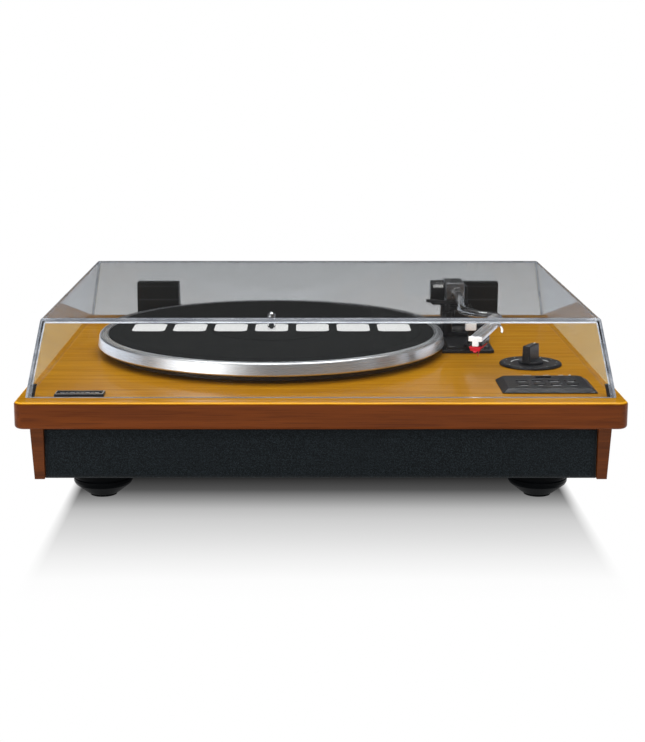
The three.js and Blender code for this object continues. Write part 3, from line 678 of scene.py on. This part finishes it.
# ---- platter and drive
def platter():
    place = Vector((PLATTER.x, PLATTER.y, DECK))
    body = fillet([(3.8, 6.5), (3.8, 14.5), (138.3, 14.5), (138.7, 17.0), (144.9, 17.0),
                   (145.9, 16.0), (147.3, 7.6), (146.2, 6.6), (142, 6.6), (142, 12.1), (83, 12.1),
                   (83, 3.5), (80, 3.5), (80, 12.1), (12, 12.1), (12, 6.5)], 0.5, 3, True)
    make("platter_casting", turned(body, place, 256, True), ALUMINIUM, "platter",
         ["platter"])
    # a black ring under the rim: a dark piece standing in for the deep shade in the gap under the
    # platter
    skirt = fillet([(137.5, 2.3), (141, 2.3), (141, 6.3), (137.5, 6.3)], 0.4, 2, True)
    make("platter_shade_ring", turned(skirt, place, 192, True), BLACK, "platter", [])
    mat = fillet([(3.9, 14.8), (137.8, 14.8), (137.8, 17.2), (128, 17.2), (127.6, 17.0),
                  (127.0, 17.0), (126.6, 17.2), (52, 17.2), (51.4, 16.9), (50, 16.9),
                  (49.4, 17.2), (3.9, 17.2)], 0.35, 2, True)
    make("felt_mat", turned(mat, place, 256, True), FELT, "platter", ["platter_mat"])
    rod = fillet([(0.01, -24), (3.5, -24), (3.5, 3.5), (8, 3.5), (8, 6.2), (3.5, 6.2), (3.5, 26.2),
                  (2.9, 28.6), (1.2, 30.1), (0.01, 30.2)], 0.6)
    make("spindle_rod", turned(rod, place, 48), CHROME, "platter", ["spindle"])


def mat_print():
    """A band of seven equal plain bars printed across the mat."""
    width, pitch, front, back = 28, 35, 11, 46
    bars = []
    for k in range(-3, 4):
        middle = PLATTER.x / MM + pitch * k
        outline = rounded_rect(middle - width / 2, middle + width / 2, front, back, 5, 6)
        bars.append(prism(outline, 17.16, 17.26))
    make("mat_print", merge(*bars), PRINT, "platter", [], 60)


def drive():
    dress(STEEL, "main_bearing", "motor", "motor_mount", bevel=0.3)
    dress(RUBBER, "drive_belt")
    dress(BRASS, "motor_pulley", bevel=0.15)


# ---- tonearm
ARM_X, ARM_Y, _ = centre("tonearm_pedestal") / MM
ARM_HEIGHT = 38.0  # the tube's middle above the deck
TUBE_X = 123.0  # where the tube leaves the arm block
SHELL_FRONT = (118.35, -119.0)
SHELL_ANGLE = -21.56
SHELL_LENGTH = 52.0
SHELL_PLACE = (Matrix.Translation(above_deck(*SHELL_FRONT, 0))
               @ Matrix.Rotation(math.radians(SHELL_ANGLE), 4, "Z"))
CLEARANCE = 146.0  # radius kept clear round the platter


def on_shell(*meshes):
    """Meshes drawn along the headshell, with its front at y = 0, turned into place."""
    return moved(SHELL_PLACE, *meshes)


def arm_base():
    """A plate cut away round the platter, with a raised field, and the pedestal on it."""
    px, py = PLATTER.x / MM, PLATTER.y / MM
    (x0, y0, _), (x1, y1, _) = box_mm("tonearm_base")

    def outline(inset):
        reach = CLEARANCE + inset
        left, right, front, back = x0 + inset, x1 - inset, y0 + inset, y1 - inset
        front_x = px + math.sqrt(reach ** 2 - (front - py) ** 2)
        back_y = py + math.sqrt(reach ** 2 - (left - px) ** 2)
        start = math.degrees(math.atan2(back_y - py, left - px))
        end = math.degrees(math.atan2(front - py, front_x - px))
        r = max(4 - inset, 0.3)
        return (arc(right - r, front + r, r, -90, 0) + arc(right - r, back - r, r, 0, 90)
                + arc(left + r, back - r, r, 90, 180) + arc(px, py, reach, start, end, 40))

    base = stack(outline, (0, 0.3), (0, 1.9), (0.25, 2.3), (0.7, 2.5), (3.2, 2.7), (3.5, 3.0),
                 (4.0, 4.9), (4.4, 5.25), (5.0, 5.4))
    selector_slot = block((138.3, 112, -5), (141.7, 128, 20))
    make("tonearm_base_plate", boolean(base, selector_slot), BLACK, "base", ["tonearm_base"])
    foot = fillet([(0.01, 5.7), (15, 5.7), (15, 7.2), (14, 8.2), (11.9, 10.5), (11.5, 14),
                   (11.5, 24.8), (10.8, 26), (0.01, 26)], 0.8)
    make("pedestal_turning", turned(foot, above_deck(ARM_X, ARM_Y, 0), 64), BLACK, "base",
         ["tonearm_pedestal"])


def arm_rest():
    """A silver block and a black cradle on a slim foot, open on the platter's side."""
    foot = merge(
        turned(fillet([(0.01, 5.7), (5.5, 5.7), (5.5, 7.4), (4.4, 8.2), (0.01, 8.2)], 0.4),
               above_deck(128.3, 5, 0), 40),
        block((125.8, 3, 7.5), (130.8, 7, 19.5), 0.5),
        block((114.5, 4, 25), (128.6, 6.5, ARM_HEIGHT - 4.1), 0.5),
        block((125.8, 4, 26), (128.6, 6.5, 39), 0.8))
    make("arm_rest_foot", foot, BLACK, "base", [])
    make("arm_cradle", block((123.7, 2.5, 19), (133, 7.5, 25.5), 0.9), BRIGHT, "base",
         ["tonearm_rest"])


def arm_lift():
    dress(BLACK, "lift_housing", bevel=0.4)
    dress(BLACK, "cue_lever", bevel=0.25)
    dress(GREY, "speed_selector", bevel=0.5)
    dress(BLACK, "lift_bar", bevel=0.3)
    cap = fillet([(0.01, 0), (1.6, 0), (1.6, 0.7), (1.0, 1.2), (0.01, 1.3)], 0.2)
    make("lift_adjuster", turned(cap, above_deck(116.8, 52.6, 7.0), 24), BRASS, "base", [])


def arm_yoke():
    """A saddle, two walls beside the arm block, and a drum with a white band across it, a painted
    highlight.
    """
    y, saddle, drum_x, drum_height = ARM_Y, 26.4, 100, ARM_HEIGHT + 0.6
    (x0, _, _), (x1, _, _) = box_mm("tonearm_block")
    inner, outer = x0 - 0.3, x1 + 0.3
    width = inner - drum_x
    drum = fillet([(0.01, 0), (8.2, 0), (9.2, 0.9), (9.2, 3), (8.7, 3.3), (8.7, 3.9), (9.2, 4.2),
                   (9.2, width - 0.5), (8.9, width), (0.01, width)], 0.4)
    casting = merge(
        block((101, y - 8, saddle), (133, y + 8, saddle + 4), 1.2),
        block((103, y - 7, saddle + 1), (inner, y + 7, ARM_HEIGHT), 0.6),
        block((outer, y - 6, saddle + 1), (133, y + 6, ARM_HEIGHT + 5), 0.9),
        turned(drum, above_deck(drum_x, y, drum_height), 64, axis="X"))
    # painted highlight: a thin white band on the drum's upper front, where a lamp's reflection lies
    left, right = 102.2, inner - 1.2
    section = ((left, 9.1), (right, 9.1), (right, 9.26), (left, 9.26))
    highlight_band = [[above_deck(x, y - r * math.cos(a), drum_height + r * math.sin(a))
             for x, r in section]
            for a in (math.radians(24 + 2 * k) for k in range(9))]
    make("drum_highlight_band", rings_to_mesh(highlight_band), PRINT, "yoke", [], 60)
    make("yoke_casting", casting, GLOSS_BLACK, "yoke", ["tonearm_yoke"])


def arm_block():
    (x0, y0, z0), (x1, y1, z1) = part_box("tonearm_block")
    face = y0 + 1.6 * MM  # the CAD box takes in the round socket
    body = box_mesh((x0, face, z0), (x1, y1, z1), 1.3, 4)
    make("arm_block_body", body, BLOCK_METAL, "tonearm", ["tonearm_block"])
    cap = box_mesh((x0 + MM, face + MM, z1 - 0.6 * MM), (x1 - MM, y1 - MM, z1 + 0.02 * MM), 0.3)
    make("arm_block_cap", cap, BLACK, "tonearm", [])
    ring = fillet([(3.8, 0.2), (3.8, -1.6), (5.0, -1.6), (5.4, -1.2), (5.4, 0.2)], 0.3, 3, True)
    place = Vector((TUBE_X * MM, face, DECK + ARM_HEIGHT * MM))
    make("tube_socket", turned(ring, place, 48, True, "Y"), CHROME, "tonearm", [])
    head = fillet([(0.01, 0), (1.3, 0), (1.3, -0.35), (1.0, -0.5), (0.01, -0.5)], 0.1)
    screws = [turned(head, Vector((x0 + 2.6 * MM, face, z)), 20, axis="Y")
              for z in (z0 + 2.8 * MM, z1 - 2.8 * MM)]
    make("block_screws", merge(*screws), STEEL, "tonearm", [])


def arm_tube():
    """An S-shaped tube from the block's socket to the headshell's collar."""
    direction = math.radians(SHELL_ANGLE)
    collar = SHELL_LENGTH + 8.9
    end_x = SHELL_FRONT[0] - collar * math.sin(direction)
    end_y = SHELL_FRONT[1] + collar * math.cos(direction)
    start_y = box_mm("tonearm_block")[0][1] - 0.3
    bends = [(TUBE_X, start_y), (121.4, 30), (118.9, -6), (120.2, -25), (128.7, -39),
             (138.2, -48.5), (end_x + 2.4, end_y + 6.4), (end_x, end_y)]
    path = smooth_path([above_deck(x, y, ARM_HEIGHT) for x, y in bends], 12)
    make("arm_tube", sweep(path, circle(3.72, 32)), CHROME, "tonearm", ["tonearm_tube"],
         60)


def headshell():
    """A tapering shell with two ribs on top, its bright front, collar and finger lift."""
    half = 5.35
    rows = []
    for y, narrow, thin in ((0, 0.5, 0.5), (0.7, 0.1, 0.1), (1.6, 0, 0), (14, 0, 0), (30, 0, 0),
                            (44, 0.3, 0), (SHELL_LENGTH - 1, 1.0, 0.2), (SHELL_LENGTH, 1.4, 0.5)):
        t = y / SHELL_LENGTH
        low, high, w = 32.6 + 3.2 * t + thin, 36.8 + 3.6 * t - thin, half - narrow
        section = [(-w, low + 0.5), (-w, high - 1.6), (-w + 0.9, high - 0.9), (-3.3, high - 0.7),
                   (-3.0, high), (-1.5, high), (-1.2, high - 0.6), (1.2, high - 0.6), (1.5, high),
                   (3.0, high), (3.3, high - 0.7), (w - 0.9, high - 0.9), (w, high - 1.6),
                   (w, low + 0.5), (w - 0.5, low), (-w + 0.5, low)]
        rows.append(mm(*((x, y, z) for x, z in section)))
    back = Vector((0, SHELL_LENGTH, ARM_HEIGHT)) * MM
    ridges = fillet([(3.9, 8), (4.8, 7.7), (4.8, 5), (4.4, 4.7), (4.4, 4.1), (4.8, 3.8),
                     (4.8, -1), (3.9, -1)], 0.3, 2, True)
    neck = turned([(0.01, -2), (4.0, -2), (4.0, 7.6), (0.01, 7.6)], back, 32, axis="Y")
    body = on_shell(rings_to_mesh(rows), turned(ridges, back, 48, True, "Y"), neck)
    make("headshell_body", body, SATIN, "tonearm", ["headshell"], 28)
    lip = box_mesh(*mm((-half, -0.05, 32.7), (half, 1.6, 36.5)), 0.5)
    stem = box_mesh(*mm((-2.45, 0, 28.9), (2.45, 2.9, 33.5)), 0.5)
    make("headshell_front", on_shell(lip, stem), BRIGHT, "tonearm", [])
    path = mm(*smooth_path([(2.5, 50.5, 38.4), (5.4, 50, 38.1), (7.9, 47.6, 36.9),
                            (9.5, 44.6, 35), (10.2, 41.6, 33.3)], 6))
    blade = sweep(path, [(-0.8, -0.3), (0.8, -0.3), (0.9, 0), (0.8, 0.3), (-0.8, 0.3), (-0.9, 0)])
    make("finger_lift", on_shell(blade), BLOCK_METAL, "tonearm", [], 40)


def cartridge():
    body = hexahedron(trapezium((4.8, 3.3, 28.9), (4.8, 25, 28.9)),
                      trapezium((4.8, 3.3, 32.3), (4.8, 25, 33.6)), 0.5)
    pin = [(0.01, 0), (0.55, 0), (0.55, 3.2), (0.01, 3.2)]
    pins = [turned(pin, Vector((x, 25, z)) * MM, 12, axis="Y")
            for x in (-2.2, 2.2) for z in (30.2, 32)]
    make("cartridge_body", on_shell(body), GLOSS_BLACK, "tonearm", ["cartridge"])
    make("cartridge_pins", on_shell(*pins), GOLD, "tonearm", [])


def stylus():
    """A red carrier with a notched front, a fine cantilever and its tip."""
    carrier = hexahedron(trapezium((3.6, 0.4, 25.1), (3.1, 22.6, 26.6)),
                         trapezium((5, -0.2, 28.6), (4.2, 23, 28.6)), 0.6)
    beak = hexahedron(trapezium((1.0, -0.25, 24.0), (1.0, 3, 24.4)),
                      trapezium((1.9, -0.25, 25.6), (1.9, 5, 25.6)), 0.35)
    make("stylus_carrier", on_shell(carrier, beak), RED, "tonearm", ["stylus"])
    rod = sweep(mm((0, 16, 26.2), (0, 12, 23.0), (0, 9.2, 20.7)), circle(0.35, 12))
    tip = turned([(0.01, -1.2), (0.12, -1.2), (0.4, 0.3), (0.01, 0.3)],
                 Vector((0, 9.3, 20.6)) * MM, 12)
    make("cantilever", on_shell(rod, tip), RED, "tonearm", [])


def counterweight():
    """A ridged weight on a short stub behind the arm block."""
    (x0, y0, z0), (x1, y1, _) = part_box("counterweight")
    length, radius, stub = (y1 - y0) / MM, (x1 - x0) / 2 / MM, 3.0
    shaft = turned(fillet([(0.01, 0), (4, 0), (4, stub + 1), (0.01, stub + 1)], 0.3),
                   Vector((ARM_X * MM, y0, DECK + ARM_HEIGHT * MM)), 40, axis="Y")
    profile = fillet([(0.01, stub), (radius - 1.2, stub), (radius, stub + 1), (radius, stub + 4),
                      (radius - 0.4, stub + 4.3), (radius - 0.4, stub + 5), (radius, stub + 5.3),
                      (radius, length - 1.2), (radius - 1, length), (3, length),
                      (2.6, length - 1), (0.01, length - 1)], 0.4)
    weight = turned(profile, Vector((ARM_X * MM, y0, z0 + radius * MM)), 72, axis="Y")
    make("counterweight_body", merge(weight, shaft), BLACK, "tonearm", ["counterweight"])


# ---- control panel, knob and badge
BUTTONS = tuple(f"{use}_button" for use in (
    "source", "record", "play", "stop", "previous", "next", "repeat", "delete"))
PANEL_TOP = on_deck(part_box("control_panel")[1][2])


def control_panel():
    """A plate with sloping sides, an opening for the socket, and eight oval buttons."""
    (x0, y0, _), (x1, y1, _) = box_mm("control_panel")

    def outline(insets):
        side, front, rear, corner = insets
        a, b, c, d = x0 + side, x1 - side, y0 + front, y1 - rear
        small = 0.8
        return (arc(b - small, c + small, small, -90, 0, 6)
                + arc(b - corner, d - corner, corner, 0, 90, 10)
                + arc(a + corner, d - corner, corner, 90, 180, 10)
                + arc(a + small, c + small, small, 180, 270, 6))

    def oval(button, gap, steps):
        (a, b, _), (c, d, _) = box_mm(button)
        return rounded_rect(a - gap, c + gap, b - gap, d + gap, (d - b) / 2 + gap - 0.02, steps)

    body = stack(outline, ((0, 0, 0, 6), 0.3), ((0, 0, 0, 6), 0.7), ((0.25, 0.2, 0.15, 6), 0.95),
                 ((4.75, 4.7, 2.8, 4), PANEL_TOP - 0.15), ((5.1, 5.1, 3.1, 4), PANEL_TOP),
                 ((6, 6, 4, 3), PANEL_TOP))
    cutters = [prism(oval(button, 0.25, 6), -5, 20) for button in BUTTONS]
    low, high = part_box("usb_socket")
    rim = 0.5 * MM
    cutters.append(box_mesh((low[0] + rim, low[1] + rim, DECK - 0.01),
                            (high[0] - rim, high[1] - rim, DECK + 0.02)))
    make("panel_plate", boolean(body, *cutters), GREY, "base", ["control_panel"])
    for button in BUTTONS:
        low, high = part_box(button)
        cap = prism(oval(button, 0, 8), on_deck(low[2]), on_deck(high[2]), 0.5, 4)
        make(f"{button}_cap", cap, BUTTON, button, [button])


def panel_print():
    """Plain dashes where the button labels are, and a small lamp."""
    marks = []
    for button, length in zip(BUTTONS, (5.6, 3.4, 6.4, 4.6) * 2):
        (x0, front, _), (x1, _, _) = box_mm(button)
        marks.append(((x0 + x1) / 2, front - 2.6, length))
    marks += [(161, -105.4, 6.5), (176, -105.4, 5.2), (187, -105.4, 4.0)]
    dashes = [block((x - length / 2, y, PANEL_TOP - 0.02),
                    (x + length / 2, y + 0.7, PANEL_TOP + 0.04)) for x, y, length in marks]
    make("panel_dashes", merge(*dashes), PRINT, "base", [], 60)
    lamp = fillet([(0.01, 0.4), (0.7, 0.3), (1.0, 0), (1.0, -0.6), (0.01, -0.6)], 0.2)
    make("panel_lamp", turned(lamp, above_deck(194, -105, PANEL_TOP), 24), WHITE_RING, "base",
         [])


def knob():
    """A bar-shaped knob in a shallow dish, with a scale of arcs and dots."""
    place = Vector((KNOB.x, KNOB.y, DECK))
    dish = fillet([(4.4, 0.3), (25.2, 0.3), (25.2, 1.2), (24.6, 2.2), (23.3, 2.4), (21.6, 2.1),
                   (14, 1.35), (4.4, 1.3)], 0.5, 3, True)
    make("escutcheon_dish", turned(dish, place, 128, True), GREY, "base", ["knob_escutcheon"])
    turn = Matrix.Translation(place) @ Matrix.Rotation(math.radians(-27.6), 4, "Z")
    skirt = turned(fillet([(0.01, -11.9), (3, -11.9), (3, 1.6), (10.2, 1.6), (10.4, 2),
                           (10.3, 3.2), (9, 4.2), (0.01, 4.4)], 0.4), Vector(), 72)
    bar = hexahedron(trapezium((3.5, -11.8, 2.6), (3.5, 11.2, 2.6)),
                     trapezium((3.1, -11.5, 17.2), (3.1, 10.8, 16.3)), 0.8, 4)
    make("knob_body", moved(turn, skirt, bar), GREY, "volume_knob", ["volume_knob"])
    pointer = box_mesh(*mm((-0.35, 6.6, 16.36), (0.35, 10.2, 16.60)))
    make("knob_pointer", moved(turn, pointer), PRINT, "volume_knob", [], 60)

    def on_dish(radius, angle, height):
        return place + Vector((radius * math.cos(angle), radius * math.sin(angle), height)) * MM

    prints = []
    for start, end in ((118, 166), (18, 44)):  # two arcs, either side of the knob
        angles = [math.radians(start + (end - start) * k / 12) for k in range(13)]
        for low, high in ((15.6, 16.2), (18.4, 19.0)):
            section = ((low, 1.42), (high, 1.5), (high, 1.72), (low, 1.64))
            prints.append(rings_to_mesh([[on_dish(r, a, h) for r, h in section]
                                         for a in angles]))
    dot = [(0.01, 0), (0.45, 0), (0.45, 0.25), (0.01, 0.25)]
    for angle in range(240, -61, -30):
        prints.append(turned(dot, on_dish(21.2, math.radians(angle), 1.9), 12))
    make("knob_scale", merge(*prints), PRINT, "base", [], 60)


def badge():
    (x0, y0, _), (x1, y1, _) = box_mm("badge")
    outline = rounded_rect(x0, x1, y0, y1, 1.2, 6)
    plate = stack(outline, (0, 0.3), (0, 1.6), (0.3, 2.1), (0.9, 2.45), (1.4, 2.5), (1.7, 2.1),
                  (2.0, 2.1))
    make("badge_plate", plate, GLOSS_BLACK, "base", ["badge"])
    trim = stack(outline, (0.85, 2.40), (0.85, 2.56), (1.35, 2.56), (1.35, 2.40), loop=True)
    make("badge_trim", trim, SATIN, "base", [])
    middle, at, dashes = (y0 + y1) / 2, x0 + 4, []
    for length in (3.2, 1.6, 3.8, 2.2, 2.2, 3.4, 1.6, 2.8):
        dashes.append(block((at, middle - 0.7, 2.05), (at + length, middle + 0.7, 2.2)))
        at += length + 1.1
    make("badge_dashes", merge(*dashes), SATIN, "base", [], 60)


# ---- dust cover and hinges
COVER_TOP = on_deck(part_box("dust_cover")[1][2])
COVER_AT_DECK = (218.1, -171.9, 179.0)  # half the width, front and back
COVER_AT_TOP = (207.75, -153.4, 164.0)


def cover_corners(height, inset):
    """The cover's four corners at a height above the deck, in mm, drawn in by an inset."""
    half, front, back = (low + (high - low) * height / COVER_TOP
                         for low, high in zip(COVER_AT_DECK, COVER_AT_TOP))
    half, front, back = half - inset, front + inset, back - inset
    return [above_deck(x, y, height)
            for x, y in ((-half, front), (half, front), (half, back), (-half, back))]


def dust_cover():
    """A clear shell with rounded edges, notched at the back round the hinges."""
    wall = 3.0
    bottom = on_deck(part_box("dust_cover")[0][2])
    foot = DECK + (bottom + 0.5) * MM

    def not_rim(edge):
        return any(v.co.z > foot for v in edge.verts)

    outer = hexahedron(cover_corners(bottom, 0), cover_corners(COVER_TOP, 0), 2.2, 4, not_rim)
    inner = hexahedron(cover_corners(-3, wall), cover_corners(COVER_TOP - wall, wall), 1.4, 4)
    notches = []
    for side in SIDES:
        middle = centre(f"hinge_leaf_{side}").x / MM
        notches.append(block((middle - 20.5, 150, -5), (middle + 20.5, 200, 12)))
    shell = boolean(outer, inner, *notches)
    piece = make("cover_shell", shell, ACRYLIC, "cover", ["dust_cover"], 25)
    piece.data.materials.append(ACRYLIC_EDGE)
    panel_area = 0.008  # square metres; every smaller face belongs to an edge
    for face in piece.data.polygons:
        if face.area < panel_area:
            face.material_index = 1
    piece.visible_shadow = False
    piece.visible_diffuse = False


def hinges():
    dress(BLACK, "hinge_base_left", "hinge_base_right", bevel=0.5)
    low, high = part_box("hinge_leaf_left")
    moulding = hinge_plastic("hinge_black", low[2], high[2])
    dress(moulding, "hinge_leaf_left", "hinge_leaf_right", bevel=0.8)
    dress(RUBBER, "cover_bumper_left", "cover_bumper_right", bevel=0.4)


# ---- floor, light and camera
FLOOR_SHADE = (  # distance behind the shadow's front edge, and its 0-255 grey
    (0.0, 255), (0.041, 253), (0.08, 241), (0.122, 225), (0.168, 207), (0.194, 189),
    (0.217, 149), (0.245, 84), (0.279, 43), (0.386, 30),
)
SHADOW_FRONT = -0.386


def stage():
    """A white floor that glows evenly, with a painted soft shadow under the object and for a way in
    front of it.
    """
    bpy.ops.mesh.primitive_plane_add(size=400, location=(0, 0, 0))
    floor = bpy.context.object
    floor.name = "floor"
    s = Surface("pale_floor")
    x, y, _ = s.split(s.place)
    # painted shadow: grey falling off behind the shadow's front edge, and softly beside and behind
    # the object
    front = s.ramp(s.math("ADD", y, -SHADOW_FRONT),
                   *((distance, rgb(grey, grey, grey)) for distance, grey in FLOOR_SHADE))
    beside = s.span(s.math("ABSOLUTE", x), 0.183, 0.192)
    behind = s.span(y, 0.10, 0.22)
    colour = s.mix(behind, s.mix(beside, front, WHITE), WHITE)
    glow = s.add("ShaderNodeEmission", {"Color": colour, "Strength": 1.0})
    s.put(s.tree.nodes["Material Output"].inputs["Surface"], glow.outputs[0])
    floor.data.materials.append(s.material)
    floor.visible_transmission = False
    floor.visible_shadow = False


RIM_LIGHT = (-0.72, -0.66, 0.18)  # direction of the soft light on the platter's rim
CAMERA_X = -0.0073  # how far left of the middle the camera is, per metre from the cover
SIDE_SLOPE, SIDE_START = 0.163, 0.1205  # the line where a side wall begins, by a ray's direction
SIDE_LOW = -0.1705  # rays that fall more than this meet the side walls' lower part


def world():
    """White behind the object, grey through the cover, and a studio's light all round."""
    sky = bpy.data.worlds.new("studio")
    scene.world = sky
    sky.use_nodes = True
    n = Nodes(sky.node_tree)
    direction = n.add("ShaderNodeTexCoord").outputs["Generated"]
    x, y, z = n.split(direction)
    rays = n.add("ShaderNodeLightPath").outputs

    def above(value, limit):
        return n.math("GREATER_THAN", value, limit)

    def both(a, b):
        return n.math("MULTIPLY", a, b)

    height = n.ramp(z, (0.0, 0.26), (0.2, 0.09), (0.35, 0.05), (0.55, 0.08), (0.72, 0.6))
    depth = n.ramp(n.math("MULTIPLY_ADD", y, 0.5, 0.5),
                   (0.0, 1.0), (0.45, 0.9), (0.8, 0.4), (1.0, 0.16))
    studio = n.mix(1.0, height, depth, "MULTIPLY")
    # a soft light that is seen only after a ray has passed through the cover
    distance = n.vector("DISTANCE", direction, RIM_LIGHT, output="Value")
    lobe = n.ramp(distance, (0.12, 1.0), (0.3, 0.66), (0.48, 0.2), (0.7, 0.0))
    near = n.mix(above(rays["Transmission Depth"], 2.5), (0.0, 0.0, 0.0, 1.0), lobe)
    studio = n.mix(near, studio, (2.4, 2.4, 2.4, 1.0))
    # what is seen straight through the cover: grey panels, and the sides' yellowish lower part
    sideways = n.math("ABSOLUTE", n.math("ADD", x, CAMERA_X))
    in_side = above(n.math("ADD", sideways, both(z, SIDE_SLOPE)), SIDE_START)
    backdrop = n.mix(in_side, (0.97, 1.0, 1.02, 1.0), (1.0, 1.08, 1.2, 1.0))
    low = both(n.math("LESS_THAN", z, SIDE_LOW), both(above(sideways, 0.138), above(y, 0.93)))
    through = n.mix(low, backdrop, (0.72, 0.65, 0.40, 1.0))
    rear_low = both(above(y, 0.0), n.math("LESS_THAN", z, 0.02))
    studio = n.mix(rear_low, studio, through)
    bounced = above(n.math("ADD", rays["Glossy Depth"], rays["Diffuse Depth"]), 0.5)
    seen = n.mix(bounced, through, studio)
    background = sky.node_tree.nodes["Background"]
    n.put(background.inputs["Color"], n.mix(rays["Is Camera Ray"], seen, WHITE))
    background.inputs["Strength"].default_value = 1.0


LIGHTS = (  # name, place, aim, size, watts, and whether reflections and the cover show it
    ("overhead", (0.0, 0.15, 1.5), (0, 0.0, 0.1), (1.5, 1.0), 17, True),
    ("front_left", (-1.45, -1.35, 0.22), (0, 0, 0.1), (1.5, 0.8), 11, False),
    ("front_right", (1.5, -1.4, 0.7), (0, 0, 0.1), (0.35, 0.9), 3, False),
    ("front_top", (0.0, -0.95, 0.98), (0, 0.05, 0.1), (1.3, 0.12), 6, False),
    ("front_low", (0.0, -1.7, 0.2), (0, 0, 0.09), (0.5, 0.4), 5, False),
)


def lights():
    for name, place, aim, size, watts, reflected in LIGHTS:
        data = bpy.data.lights.new(name, "AREA")
        data.shape = "RECTANGLE"
        data.size, data.size_y = size
        data.energy = watts
        light = bpy.data.objects.new(name, data)
        light.location = place
        towards = Vector(aim) - Vector(place)
        light.rotation_euler = towards.to_track_quat("-Z", "Y").to_euler()
        light.visible_camera = False
        light.visible_glossy = reflected
        light.visible_transmission = reflected
        scene.collection.objects.link(light)


def camera():
    """In front of the player and above it, looking a little down."""
    data = bpy.data.cameras.new("camera")
    data.lens = 74.34
    data.shift_x = 0.0222
    data.shift_y = -0.0047
    data.clip_start = 0.05
    eye = bpy.data.objects.new("camera", data)
    eye.location = (-0.0109, -1.2713, 0.3296)
    eye.rotation_euler = (math.radians(90 - 11.69), 0, 0)
    scene.collection.objects.link(eye)
    scene.camera = eye


for step in (camera, plinth, cabinet, grille, feet, rear_sockets, platter, mat_print, drive,
             arm_base, arm_rest, arm_lift, arm_yoke, arm_block, arm_tube, headshell, cartridge,
             stylus, counterweight, control_panel, panel_print, knob, badge, dust_cover,
             hinges, stage, world, lights):
    step()
scene.view_settings.view_transform = "Standard"
